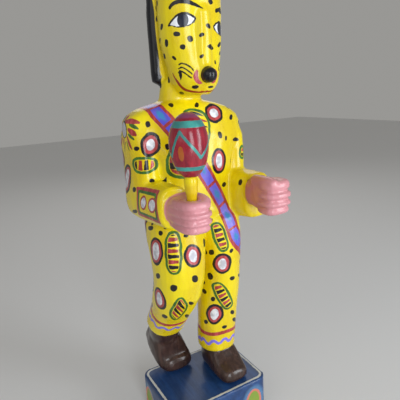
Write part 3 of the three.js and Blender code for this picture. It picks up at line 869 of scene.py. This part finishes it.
def paint_hems(p, field):
    left, right = hem_heights(p)
    right_leg = p[:, 0] < FEET_PART
    height = np.where(right_leg, right, left)
    middle_x = np.where(right_leg, HEM_RIGHT[0], LEFT_LEG_X)
    middle_y = np.where(right_leg, HEM_RIGHT[1] - height * math.tan(HEM_RIGHT_TILT), LEFT_LEG_Y)
    round_leg = np.arctan2(p[:, 1] - middle_y, p[:, 0] - middle_x) * LEG_RADIUS
    red = height - np.where(right_leg, HEM_LINES[1], HEM_LINES[0]) - HEM_STRAY * np.sin(round_leg / 7)
    turn = round_leg * 2 * math.pi / WAVE_LENGTH
    wave = np.where(right_leg, HEM_WAVES[1], HEM_WAVES[0]) + WAVE_SWING * np.sin(turn)
    wave += HEM_STRAY * np.sin(round_leg / 6 + 1)
    slope = WAVE_SWING * 2 * math.pi / WAVE_LENGTH * np.cos(turn)
    violet = (height - wave) / np.sqrt(1 + slope ** 2)
    for name, distance in (("hem_line", red), ("hem_wave", violet)):
        field[name] = np.where(p[:, 2] < LEGS_BELOW, np.clip(distance, -FAR, FAR), FAR)


print("sunburst petals:", len(PETALS_SEEN) + len(PETALS_HIDDEN), "a side")

# %% Regions of plain colour
EAR_RADIUS = 10.5
HAIR_LAP, SKIN_LAP, SHOE_LAP, NOSE_LAP = 0.8, 0.7, 0.2, 0.45  # how far paint goes over a landmark
HAIRLINE_WAVE = 1.2
# The skin's brown end is partly painted shade: the palm's hollow and the wrist next to the sleeve are
# painted darker, over the palm's browner paint.
PALM_TO_TIPS = (62, 78)  # how far forward the skin begins and ends to turn from brown to pink


def paint_regions(p, field):
    """Hair, ears, skin, shoes and nose, each as the distance to the region's edge."""
    x, y, z = p.T
    ear = np.linalg.norm(np.abs(p) * [1, 0, 0] + p * [0, 1, 1] - EAR, axis=1) - EAR_RADIUS
    behind = np.minimum(HAIR_FRONT - y, HAIR_EDGE - np.abs(x))
    slab = np.maximum(behind, HAIR_BOTTOM - HAIR_LAP - z)
    cap = HAIRLINE + HAIRLINE_WAVE * np.cos(x / 5) - z
    left, right = hem_heights(p)
    shoe = np.where(x < FEET_PART, right, left) - SHOE_LAP
    for name, distance in (
        ("hair", np.maximum(np.minimum(slab, cap), -ear)),
        ("skin", np.where(in_hands(p), y - sleeve_end(p) + SKIN_LAP, FAR)),
        ("shoe", np.where(z < SHOES_BELOW, shoe, FAR)),
        ("nose", np.linalg.norm(p - NOSE, axis=1) - NOSE_RADIUS - NOSE_LAP),
    ):
        field[name] = np.clip(distance, -FAR, FAR)
    # tips is the share of pink at each point. The rest is the darker brown that carries the painted shade
    # of the palm's hollow, and the left palm, whose hollow faces out, gets the most of it.
    tips = ramp(-y, *PALM_TO_TIPS)
    field["tips"] = np.where(x < 0, 0.5 + tips / 2, tips)  # the left palm is the brownest


print("regions: hair, skin, shoe, nose")

# %% Paint the whole figure
FIELDS = ("black", "red", "green", "white", "iris", "pale", "nostril", "mouth", "rosette", "small",
          "oval")
OVAL_POWER = 2.6  # ovals and dabs are a little boxier than ellipses
SPOT_POWER = 2.3


def uneven(p, place):
    """Strays from an even outline, the same for one mark each time."""
    seed = place.point.sum()
    offset = p - place.point
    return HAND_MARKS * np.sin(offset @ STRAY_WAVES + seed)


def painted(piece):
    """Every field for the piece's vertices."""
    p, n = points_mm(piece), normals_of(piece)
    field = {name: np.full(len(p), FAR) for name in FIELDS}
    field["oval_along"], field["oval_across"] = np.zeros(len(p)), np.zeros(len(p))
    for place, *oval in rosettes:
        add(field, "rosette", disc(p, n, place, *oval) + uneven(p, place))
    for place, *oval in place_all(wood, PATCH_ROSETTES):
        add(field, "small", disc(p, n, place, *oval))
    for place, *oval in ovals:
        rim, along, across = disc_and_grid(p, n, place, *oval, OVAL_POWER)
        rim = rim + uneven(p, place)
        closer = rim < field["oval"]
        for name, values in (("oval_along", along), ("oval_across", across), ("oval", rim)):
            field[name] = np.where(closer, values, field[name])
    paint_sash(p, field)
    paint_face(p, n, field)
    paint_sunbursts(p, n, field)
    field["patch"] = patch(p, n, [seen_at(wood, pixel) for pixel in PATCH_CORNERS])
    paint_hems(p, field)
    paint_regions(p, field)
    for place, *oval in spots:
        add(field, "black", disc(p, n, place, *oval, SPOT_POWER) - DAB_SWELL + uneven(p, place))
    return field


first = painted(figure)
print("fields:", sorted(first))

# %% [markdown]
# The hidden sides get their dabs by chance: vertices are tried in a random order, and one is kept when it
# is out of the camera's sight, clear of every other mark and far enough from the dabs before it.

# %% Dabs on the hidden sides
SHAPES = ("rosette", "oval", "sash", "red", "green", "white", "pale", "patch", "skin", "shoe", "hair")
LINES = ("hem_line", "hem_wave", "mouth", "nostril", "black")
MOST_TRIED = 6000
GRAZING = -0.12  # wood seen from behind, or more edge-on than this, counts as hidden
DAB_SIZES = (2.6, 4.6)
DAB_LONGER = 1.2  # what is added to a dab's height
DAB_LEAN = 40


def out_of_sight(p, n):
    """True for points that the camera doesn't see."""
    hides = []
    for point, normal in zip(p, n):
        ray = point - CAMERA_MM
        distance = np.linalg.norm(ray)
        hit, _, _, reach = wood.ray_cast(Vector(CAMERA_MM), Vector(ray / distance))
        behind = hit is not None and reach < distance - 2
        hides.append(behind or normal @ ray > GRAZING * distance)
    return np.array(hides)


def scatter(field, p, n):
    """Dabs at random places on the hidden yellow ground."""
    clear = np.min([field[name] for name in SHAPES], axis=0) > SPOT_CLEARANCE
    clear &= np.min([np.abs(field[name]) for name in LINES], axis=0) > SPOT_CLEARANCE
    clear &= n[:, 2] > MOST_DOWNWARD
    tried = rng.permutation(np.nonzero(clear)[0])[:MOST_TRIED]
    tried = tried[out_of_sight(p[tried], n[tried])]
    kept = []
    for index in tried:
        if all(np.linalg.norm(p[index] - p[other]) > SPOT_SPACING for other in kept):
            kept.append(index)
    places = []
    for index in kept:
        right = np.cross(np.array(UP), n[index])
        right /= np.linalg.norm(right) + 1e-9
        place = Place(p[index], n[index], right, np.cross(n[index], right))
        wide, high = rng.uniform(*DAB_SIZES, 2)
        places.append((place, wide, high + DAB_LONGER, rng.uniform(-DAB_LEAN, DAB_LEAN)))
    return places


more = scatter(first, points_mm(figure), normals_of(figure))
spots += more
print("dabs out of sight:", len(more))

# %% [markdown]
# Thin lines need more vertices than broad ones. The faces under the finest brushwork are split once more,
# and then the fields are worked out again for the final mesh and stored on it.

# %% Finer mesh under thin lines
FINE_REACH = 2.2


def split_under_lines(piece, field):
    """Splits the faces whose vertices lie near the edge of a fine mark."""
    fine = np.zeros(len(piece.data.vertices), bool)
    for name in ("black", "red", "green", "white", "iris", "small", "mouth"):
        fine |= np.abs(field[name]) < FINE_REACH
    loops = read_values(piece.data.loops, "vertex_index", np.int32)
    starts = read_values(piece.data.polygons, "loop_start", np.int32)
    chosen = np.logical_and.reduceat(fine[loops], starts)
    bpy.context.view_layer.objects.active = piece
    switch_to("EDIT")
    bpy.ops.mesh.select_all(action="DESELECT")
    switch_to("OBJECT")
    piece.data.polygons.foreach_set("select", chosen)
    switch_to("EDIT")
    bpy.ops.mesh.select_mode(type="FACE")
    bpy.ops.mesh.subdivide(number_cuts=1, smoothness=0.0)
    switch_to("OBJECT")
    return int(chosen.sum())


def store(piece, field):
    """Writes each field to the mesh as a vertex attribute."""
    for name, values in field.items():
        attribute = piece.data.attributes.new(name, "FLOAT", "POINT")
        attribute.data.foreach_set("value", values.astype(np.float32))


def triangles(piece):
    piece.data.calc_loop_triangles()
    return len(piece.data.loop_triangles)


split = split_under_lines(figure, painted(figure))
store(figure, painted(figure))
print("split", split, "faces; the skin now has", triangles(figure), "triangles")

# %% [markdown]
# The enamel. One shader paints all of the figure: a yellow ground, then each kind of mark over it, in the
# order in which the painter would lay them. The helpers keep that readable. below() turns a distance into
# a soft-edged mask, and lay() puts a colour over what is there. A little noise on the distances makes the
# edges waver as a brush does, and the brush's streaks and thicker paint show a trace in the bump.

# %% Shader helpers
SPECULAR = 0.36
COAT = 0.25
COAT_ROUGHNESS = 0.14


class Paint:
    """A small kit for building one enamel shader, layer by layer."""

    def __init__(self, name, waver_scale, waver_size):
        self.material = bpy.data.materials.new(name)
        self.material.use_nodes = True
        self.tree = self.material.node_tree
        self.shader = self.tree.nodes["Principled BSDF"]
        self.place = self.tree.nodes.new("ShaderNodeTexCoord").outputs["Object"]
        self.colour = self.height = None
        noise = self.noise(waver_scale, detail=3)
        self.waver = self.math("MULTIPLY", self.math("SUBTRACT", noise, 0.5), waver_size)

    def link(self, value, socket):
        if hasattr(value, "is_linked"):
            self.tree.links.new(value, socket)
        else:
            socket.default_value = value

    def math(self, operation, a, b=0.0, c=0.0):
        node = self.tree.nodes.new("ShaderNodeMath")
        node.operation = operation
        for socket, value in zip(node.inputs, (a, b, c)):
            self.link(value, socket)
        return node.outputs[0]

    def field(self, name):
        node = self.tree.nodes.new("ShaderNodeAttribute")
        node.attribute_name = name
        return node.outputs["Fac"]

    def edge(self, name):
        """A field whose zero line wavers as a brush does."""
        return self.math("ADD", self.field(name), self.waver)

    def noise(self, scale, stretch=(1, 1, 1), detail=2.0, rough=0.5):
        mapping = self.tree.nodes.new("ShaderNodeMapping")
        mapping.inputs["Scale"].default_value = stretch
        self.tree.links.new(self.place, mapping.inputs["Vector"])
        node = self.tree.nodes.new("ShaderNodeTexNoise")
        for name, value in (("Scale", scale), ("Detail", detail), ("Roughness", rough)):
            node.inputs[name].default_value = value
        self.tree.links.new(mapping.outputs["Vector"], node.inputs["Vector"])
        return node.outputs["Fac"]

    def between(self, value, low, high):
        """0 to 1 as the value goes from low to high, smoothly."""
        node = self.tree.nodes.new("ShaderNodeMapRange")
        node.interpolation_type = "SMOOTHSTEP"
        for name, given in (("Value", value), ("From Min", low), ("From Max", high)):
            self.link(given, node.inputs[name])
        return node.outputs["Result"]

    def below(self, value, limit=0.0, blur=0.22):
        return self.math("SUBTRACT", 1.0, self.between(value, limit - blur, limit + blur))

    def mix(self, share, a, b):
        """From a to b by share. Each of the two is a colour or a node's output."""
        node = self.tree.nodes.new("ShaderNodeMix")
        node.data_type = "RGBA"
        for name, value in (("Factor", share), ("A", a), ("B", b)):
            self.link((*value, 1) if isinstance(value, tuple) else value, node.inputs[name])
        return node.outputs["Result"]

    def shades(self, light, dark, value, low=None, high=None):
        """A colour that grows light with the value, or as the value goes from low to high."""
        return self.mix(value if low is None else self.between(value, low, high), dark, light)

    def lay(self, mask, paint):
        """Covers the colours so far with paint where the mask is 1."""
        self.colour = self.mix(mask, self.colour, paint)

    def raise_by(self, mask, amount):
        step = self.math("MULTIPLY", mask, amount)
        self.height = step if self.height is None else self.math("ADD", self.height, step)

    def finish(self, roughness, bump_distance):
        bump = self.tree.nodes.new("ShaderNodeBump")
        for value, socket in (
            (self.height, bump.inputs["Height"]), (bump_distance, bump.inputs["Distance"]),
            (bump.outputs["Normal"], self.shader.inputs["Normal"]),
            (self.colour, self.shader.inputs["Base Color"]),
            (roughness, self.shader.inputs["Roughness"]),
            (SPECULAR, self.shader.inputs["Specular IOR Level"]),
            (COAT, self.shader.inputs["Coat Weight"]),
            (COAT_ROUGHNESS, self.shader.inputs["Coat Roughness"]),
        ):
            self.link(value, socket)
        return self.material


def enamelled(piece, enamel):
    piece.data.materials.append(enamel)
    bpy.context.view_layer.objects.active = piece
    piece.select_set(True)
    bpy.ops.object.shade_smooth()


print("shader kit ready")

# %% Colours
YELLOW = (0.88, 0.72, 0.003)
OCHRE = (0.7, 0.49, 0.001)
BLACK = (0.004, 0.004, 0.007)
INK = (0.007, 0.006, 0.008)
BRICK = (0.33, 0.035, 0.025)
ROSE = (0.56, 0.075, 0.09)
CRIMSON = (0.2, 0.008, 0.022)
CRIMSON_LIGHT = (0.36, 0.02, 0.035)
PEARL = (0.5, 0.5, 0.55)
SNOW = (0.82, 0.84, 0.89)
LEAF = (0.07, 0.22, 0.025)
MOSS = (0.03, 0.1, 0.012)
VIOLET = (0.1, 0.085, 0.6)
LILAC = (0.22, 0.18, 0.72)
TEAL = (0.05, 0.24, 0.52)
# FLESH_SHADE is the palms' browner paint with the painted shade of the palm's hollow and of the wrist next
# to the sleeve.
FLESH = (0.66, 0.28, 0.31)
FLESH_SHADE = (0.52, 0.18, 0.13)
BROWN = (0.036, 0.018, 0.013)
BROWN_LIGHT = (0.07, 0.036, 0.027)
IRIS = (0.008, 0.012, 0.03)
MOUTH_RED = (0.33, 0.03, 0.012)
BORDER = 3.2  # of the sash, in millimetres
STROKE_STEP = 5.0  # from one stroke inside an oval to the next
print("yellow ground", YELLOW)

# %% The dancer's enamel
RED_RING, PALE_CENTRE = -2.4, -5.1  # distances inside a rosette
OVAL_RIM, STROKE_END = -2.4, -3.0  # and inside an oval
STROKE_HALF = 1.7
STROKE_BEND = 0.1
LOZENGE_HALVES = (3.9, 9.5)  # across the sash and along it
BAR_HALF = (1.1, 1.6)  # where a sash bar begins and ends to fade
PATCH_GREEN, PATCH_YELLOW = -2.5, -4.9
SMALL_CENTRE = -1.6


def dancer_enamel():
    kit = Paint("dancer enamel", 420, 0.9)
    slow = kit.noise(38, (1, 1, 0.4), 3)
    streak = kit.noise(260, (1, 1, 0.12), 4, 0.6)
    pearl = kit.shades(SNOW, PEARL, kit.noise(190, detail=2), 0.35, 0.65)
    rose = kit.shades(ROSE, BRICK, streak, 0.3, 0.75)
    brick = kit.shades(ROSE, BRICK, streak, 0.4, 0.7)
    green = kit.shades(LEAF, MOSS, streak, 0.35, 0.7)

    ground = kit.math("MULTIPLY_ADD", slow, 0.9, kit.math("MULTIPLY", streak, 0.2))
    kit.colour = kit.shades(YELLOW, OCHRE, ground, 0.3, 0.75)
    ring = kit.edge("rosette")
    rosette = kit.mix(kit.below(ring, RED_RING), INK, rose)
    kit.lay(kit.below(ring), kit.mix(kit.below(ring, PALE_CENTRE, 0.3), rosette, pearl))

    oval = kit.edge("oval")
    place = kit.math("DIVIDE", kit.field("oval_along"), STROKE_STEP)
    stroke = kit.math("ABSOLUTE", kit.math("SUBTRACT", kit.math("FRACT", place), 0.5))
    stroke = kit.math("MULTIPLY_ADD", stroke, STROKE_STEP, kit.waver)
    stroke = kit.math("MULTIPLY_ADD", kit.field("oval_across"), STROKE_BEND, stroke)
    turn = kit.math("FRACT", kit.math("DIVIDE", place, 2))
    hue = kit.mix(kit.math("GREATER_THAN", turn, 0.5), brick, INK)
    inside = kit.math("MULTIPLY", kit.below(oval, STROKE_END), kit.below(stroke, STROKE_HALF))
    marks = kit.mix(kit.below(oval, OVAL_RIM), green, kit.colour)
    kit.lay(kit.below(oval), kit.mix(inside, marks, hue))

    sash = kit.below(kit.edge("sash"))
    across = kit.edge("sash_across")
    bar = kit.between(kit.edge("sash_bar"), *BAR_HALF)
    panel = kit.math("MULTIPLY", kit.below(across, SASH_HALF - BORDER), bar)
    lozenge = kit.math("DIVIDE", across, LOZENGE_HALVES[0])
    along = kit.math("DIVIDE", kit.field("sash_middle"), LOZENGE_HALVES[1])
    lozenge = kit.math("ADD", lozenge, along)
    violet = kit.shades(LILAC, VIOLET, slow, 0.35, 0.65)
    violet = kit.mix(kit.below(lozenge, 0.8, 0.35), violet, TEAL)
    kit.lay(sash, kit.mix(panel, brick, violet))

    sleeve, small = kit.edge("patch"), kit.edge("small")
    hem, wave = (kit.math("ABSOLUTE", kit.edge(name)) for name in ("hem_line", "hem_wave"))
    black = kit.below(kit.edge("black"))
    for mask, paint in (
        (kit.below(sleeve), brick), (kit.below(sleeve, PATCH_GREEN), green),
        (kit.below(sleeve, PATCH_YELLOW), kit.shades(YELLOW, OCHRE, slow)),
        (kit.below(small), rose), (kit.below(small, SMALL_CENTRE), pearl),
        (kit.below(wave, WAVE_WIDTH / 2), LILAC), (kit.below(hem, HEM_LINE_WIDTH / 2), brick),
        (kit.below(kit.edge("nostril")), kit.shades(ROSE, BRICK, streak, 0.35, 0.65)),
        (kit.below(kit.field("mouth")), MOUTH_RED), (kit.below(kit.edge("green")), green),
        (kit.below(kit.edge("red")), brick), (kit.below(kit.edge("pale")), PEARL),
        (kit.below(kit.field("white")), SNOW), (kit.below(kit.field("iris")), IRIS),
        (black, INK),
    ):
        kit.lay(mask, paint)

    # The skin is pink at the fingertips and turns darker and browner towards the wrist and into the palm:
    # painted shade in the fist's hollow and next to the sleeve, over the palm's browner paint.
    pink = kit.math("MULTIPLY_ADD", kit.between(slow, 0.25, 0.6), 0.35, kit.field("tips"))
    flesh = kit.shades(FLESH, FLESH_SHADE, pink, 0, 1.2)
    leather = kit.shades(BROWN_LIGHT, BROWN, streak, 0.4, 0.7)
    for name, paint in (("skin", flesh), ("shoe", leather), ("hair", BLACK), ("nose", BLACK)):
        kit.lay(kit.below(kit.field(name), 0, 0.3), paint)

    for mask, amount in ((streak, 0.35), (black, 0.25), (kit.below(ring), 0.25), (sash, 0.2)):
        kit.raise_by(mask, amount)
    return kit.finish(kit.math("MULTIPLY_ADD", slow, 0.14, 0.21), 0.00035)


enamelled(figure, dancer_enamel())
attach(figure, "root")
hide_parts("figure")
print("figure finished:", figure.name)

# %% [markdown]
# The maraca is turned on a lathe: an egg on a short stick. A ball is added at the egg's place, its lower
# half is drawn out a little, and the faces round its lower pole are extruded down to make the stick, which
# goes into the hole in the fist.

# %% Maraca form
maraca_low, maraca_high = (np.array(corner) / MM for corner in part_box("maraca"))
EGG_BOTTOM = 276
EGG_MIDDLE = 302.7
EGG_TOP = maraca_high[2]
EGG_RADIUS = 14.9
STICK_RADIUS = 3.9
STICK_SWELL = 1.7  # how much thicker the stick is above the fist than inside it
STICK_BOTTOM = maraca_low[2]
STICK_STEPS = 16
STEP_LENGTH = 2.2
BALL_BOTTOM = 0.6 - EGG_RADIUS  # what lies lower than this becomes the stick
STICK_TOP = EGG_BOTTOM + 1.2
FADE_ABOVE_FIST = (0.32, 0.4)  # the parts of its length over which the stick's swelling ends
RATTLE_CUTS = (0.35 * MM, 12 * MM)


def select_faces(piece, chosen):
    """Edit mode with only the faces selected that chosen(centre in mm) picks."""
    switch_to("OBJECT")
    for face in piece.data.polygons:
        face.select = bool(chosen(np.array(face.center) / MM))
    switch_to("EDIT")


bpy.ops.object.select_all(action="DESELECT")
bpy.ops.mesh.primitive_uv_sphere_add(segments=96, ring_count=64, radius=EGG_RADIUS * MM)
maraca = bpy.context.object
maraca.name = "rattle"
switch_to("EDIT")
bpy.ops.mesh.select_all(action="DESELECT")
bpy.ops.mesh.select_mode(type="FACE")
select_faces(maraca, lambda c: c[2] < 0 and math.hypot(c[0], c[1]) < STICK_RADIUS + 0.5)
for _ in range(STICK_STEPS):
    bpy.ops.mesh.extrude_region_move(TRANSFORM_OT_translate={"value": (0, 0, -STEP_LENGTH * MM)})
switch_to("OBJECT")
print("rattle faces:", len(maraca.data.polygons))

# %% Draw the ball out to an egg and the extrusion to a stick


def shape_rattle(p):
    """Moves the points of the ball and its extrusion to the egg and the stick, in millimetres."""
    out = p.copy()
    radius = np.hypot(p[:, 0], p[:, 1])
    above = p[:, 2] > 0
    out[above, 2] *= (EGG_TOP - EGG_MIDDLE) / EGG_RADIUS
    out[~above, 2] *= (EGG_MIDDLE - EGG_BOTTOM) / EGG_RADIUS
    out[:, 2] += EGG_MIDDLE
    low = p[:, 2] < BALL_BOTTOM
    depth = ramp(-p[low, 2], -BALL_BOTTOM, -p[:, 2].min())
    out[low, 2] = STICK_TOP - depth * (STICK_TOP - STICK_BOTTOM)
    taper = 1 - 0.4 * ramp(depth, 0, 0.28)
    swell = STICK_RADIUS + STICK_SWELL * taper * (1 - ramp(depth, *FADE_ABOVE_FIST))
    reach = np.minimum(radius[low] / radius[low].max(), 1) * swell
    out[low, :2] *= (reach / np.maximum(radius[low], 1e-6))[:, None]
    out[:, :2] += STICK
    return out


move_points(maraca, shape_rattle(points_mm(maraca)))
knife_marks(maraca, *RATTLE_CUTS)
print("rattle box (mm):", *box_mm(maraca))

# %% [markdown]
# On the crimson egg the painter drew two turquoise bands with a zigzag between them, an orange leaf in each
# bend and a small violet cap. The zigzag is a line through points given by their angle round the egg and
# their height, so it goes on round the hidden side.

# %% Rattle marks
ZIGZAG = [(180, 294.5), (215, 312.5), (278, 293), (344, 311.5), (398, 294), (456, 312), (500, 300),
          (540, 294.5)]
ZIGZAG_WIDTH = 2.1
UPPER_BAND = (317.2, 4.6)
LOWER_BAND = (285.2, 3.2)
CAP_LOW = 321.5
LEAVES = [(217, 297), (315, 297), (70, 298)]
LEAF_SIZE = (4.4, 11)
STICK_PAINT = 2  # how far the stick's yellow goes up the egg


def on_egg(angle, height):
    """A point of the egg's surface at an angle in degrees and a height."""
    reach = EGG_TOP - EGG_MIDDLE if height > EGG_MIDDLE else EGG_MIDDLE - EGG_BOTTOM
    radius = EGG_RADIUS * math.sqrt(max(1 - ((height - EGG_MIDDLE) / reach) ** 2, 0))
    turn = math.radians(angle)
    return np.array([STICK[0] + radius * math.cos(turn), STICK[1] + radius * math.sin(turn), height])


def rattle_fields(p, n):
    path = []
    for (angle, height), (next_angle, next_height) in zip(ZIGZAG, ZIGZAG[1:]):
        for t in np.linspace(0, 1, 9):
            path.append(on_egg(angle + t * (next_angle - angle), height + t * (next_height - height)))
    turquoise = line(p, path, [ZIGZAG_WIDTH] * len(path))
    for middle, width in (UPPER_BAND, LOWER_BAND):
        turquoise = np.minimum(turquoise, np.abs(p[:, 2] - middle) - width / 2)
    leaf = np.full(len(p), FAR)
    for angle, height in LEAVES:
        point = on_egg(angle, height)
        turn = math.radians(angle)
        out = np.array([math.cos(turn), math.sin(turn), 0])
        place = Place(point, out, np.cross(np.array(UP), out), np.array(UP))
        leaf = np.minimum(leaf, disc(p, n, place, *LEAF_SIZE))
    return {"turquoise": turquoise, "leaf": leaf, "cap": CAP_LOW - p[:, 2],
            "stick": p[:, 2] - EGG_BOTTOM - STICK_PAINT}


store(maraca, rattle_fields(points_mm(maraca), normals_of(maraca)))
print("rattle leaves:", len(LEAVES))

# %% The rattle's enamel
TURQUOISE = (0.06, 0.34, 0.3)
ORANGE = (0.5, 0.17, 0.01)
TURQUOISE_DARK = (0.04, 0.22, 0.21)
MAUVE = (0.25, 0.07, 0.2)


def rattle_enamel():
    kit = Paint("rattle enamel", 420, 0.8)
    streak = kit.noise(240, (1, 1, 0.2), 4, 0.6)
    slow = kit.noise(60, detail=3)
    kit.colour = kit.shades(CRIMSON_LIGHT, CRIMSON, streak, 0.3, 0.7)
    kit.lay(kit.below(kit.edge("cap"), 0, 0.8), kit.shades(MAUVE, CRIMSON, slow))
    kit.lay(kit.below(kit.edge("leaf")), kit.shades(ORANGE, BRICK, slow))
    band = kit.below(kit.edge("turquoise"))
    kit.lay(band, kit.shades(TURQUOISE, TURQUOISE_DARK, slow, 0.4, 0.6))
    kit.lay(kit.below(kit.edge("stick")), kit.shades(YELLOW, OCHRE, slow, 0.35, 0.65))
    kit.raise_by(streak, 0.4)
    kit.raise_by(band, 0.4)
    return kit.finish(kit.math("MULTIPLY_ADD", slow, 0.12, 0.14), 0.0003)


enamelled(maraca, rattle_enamel())
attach(maraca, "root")
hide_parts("maraca")
print("rattle finished")

# %% [markdown]
# The plinth is a sawn block whose edges were rounded with a knife and sandpaper. It starts as a cube at the
# node's size. Its upright edges are bevelled first and then the rim of its top. A remesh gives it the
# vertices that its painted lines need.

# %% Plinth form
plinth_low, plinth_high = (np.array(corner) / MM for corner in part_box("plinth"))
PLINTH_SIZE = plinth_high - plinth_low
PLINTH_CORNER = 11
PLINTH_EDGE = 4.5
PLINTH_VOXEL = 1.1 * MM
PLINTH_FOOT = 1.5  # the flat underside stays as it is up to this height
PLINTH_CUTS = (0.5 * MM, 20 * MM)

bpy.ops.object.select_all(action="DESELECT")
bpy.ops.mesh.primitive_cube_add(size=1, location=(0, 0, 0))
plinth = bpy.context.object
plinth.name = "block"
switch_to("EDIT")
bpy.ops.transform.resize(value=tuple(PLINTH_SIZE * MM))
bpy.ops.transform.translate(value=(0, 0, PLINTH_SIZE[2] / 2 * MM))
bpy.ops.mesh.select_all(action="DESELECT")
switch_to("OBJECT")
for edge in plinth.data.edges:
    ends = [plinth.data.vertices[v].co for v in edge.vertices]
    edge.select = bool(abs(ends[0].z - ends[1].z) > PLINTH_SIZE[2] / 2 * MM)
switch_to("EDIT")
bpy.ops.mesh.select_mode(type="EDGE")
bpy.ops.mesh.bevel(offset=PLINTH_CORNER * MM, segments=8, affect="EDGES")
bpy.ops.mesh.select_mode(type="FACE")
select_faces(plinth, lambda c: c[2] > PLINTH_SIZE[2] - 0.1)
bpy.ops.mesh.select_mode(type="EDGE")
bpy.ops.mesh.region_to_loop()
bpy.ops.mesh.bevel(offset=PLINTH_EDGE * MM, segments=5, affect="EDGES")
switch_to("OBJECT")
print("block faces after the bevels:", len(plinth.data.polygons))

# %% Plinth surface
apply_modifier(plinth, "REMESH", mode="VOXEL", voxel_size=PLINTH_VOXEL)
set_group(plinth, "above", (points_mm(plinth)[:, 2] > PLINTH_FOOT).astype(float))
apply_modifier(plinth, "SMOOTH", factor=SMOOTH_IN, iterations=6, vertex_group="above")
knife_marks(plinth, *PLINTH_CUTS, "above")
plinth.vertex_groups.clear()
print("block box (mm):", *box_mm(plinth))

# %% Plinth marks
LINE_INSET = 3.6
LINE_WIDTH = 2.2
OVAL_PLACES = {"front": 36, "back": 36, "left": 24, "right": 24}  # from the side's middle, two a side
OVAL_HEIGHT = 20
OVAL_SIZE = (20, 30)


def rounded_square(p):
    """Distance in the level plane from the plinth's outline, negative inside it."""
    corner = np.abs(p[:, :2]) - PLINTH_SIZE[:2] / 2 + PLINTH_CORNER
    outside = np.linalg.norm(np.maximum(corner, 0), axis=1)
    return outside + np.minimum(corner.max(1), 0) - PLINTH_CORNER


def block_fields(p, n):
    rim = np.abs(rounded_square(p) + LINE_INSET) - LINE_WIDTH / 2
    white = np.where(p[:, 2] > PLINTH_SIZE[2] - 5, np.minimum(rim, FAR), FAR)
    oval = np.full(len(p), FAR)
    for side, across in OVAL_PLACES.items():
        outward, right = (np.array(v, float) for v in SIDE_VIEWS[side])
        reach = np.abs(outward) @ PLINTH_SIZE / 2
        for shift in (-across, across):
            point = outward * reach + right * shift + np.array(UP) * OVAL_HEIGHT
            oval = np.minimum(oval, disc(p, n, Place(point, outward, right, np.array(UP)), *OVAL_SIZE))
    return {"white": white, "oval": oval}


store(plinth, block_fields(points_mm(plinth), normals_of(plinth)))
print("block marks stored")

# %% The block's enamel
NAVY = (0.006, 0.03, 0.115)
NAVY_LIGHT = (0.014, 0.06, 0.21)
CREAM = (0.62, 0.62, 0.58)
LIME = (0.33, 0.4, 0.05)
SALMON = (0.6, 0.2, 0.13)
HAZE = (0.15, 0.33, 0.55)
BLOCK_OVAL_RIM = -2.6


def block_enamel():
    kit = Paint("block enamel", 300, 1.1)
    streak = kit.noise(130, (1, 0.12, 1), 5, 0.65)
    slow = kit.noise(30, detail=3)
    kit.colour = kit.shades(NAVY_LIGHT, NAVY, streak, 0.35, 0.72)
    ring = kit.edge("oval")
    kit.lay(kit.math("MULTIPLY", kit.below(ring, 4, 3), 0.5), HAZE)
    lime = kit.shades(LIME, LEAF, slow)
    kit.lay(kit.below(ring), kit.mix(kit.below(ring, BLOCK_OVAL_RIM), SALMON, lime))
    white = kit.math("MULTIPLY", kit.below(kit.edge("white")), kit.between(streak, 0.2, 0.42))
    kit.lay(white, CREAM)
    kit.raise_by(streak, 0.8)
    kit.raise_by(white, 0.4)
    return kit.finish(kit.math("MULTIPLY_ADD", slow, 0.25, 0.25), 0.0004)


enamelled(plinth, block_enamel())
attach(plinth, "root")
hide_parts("plinth")
print("block finished")
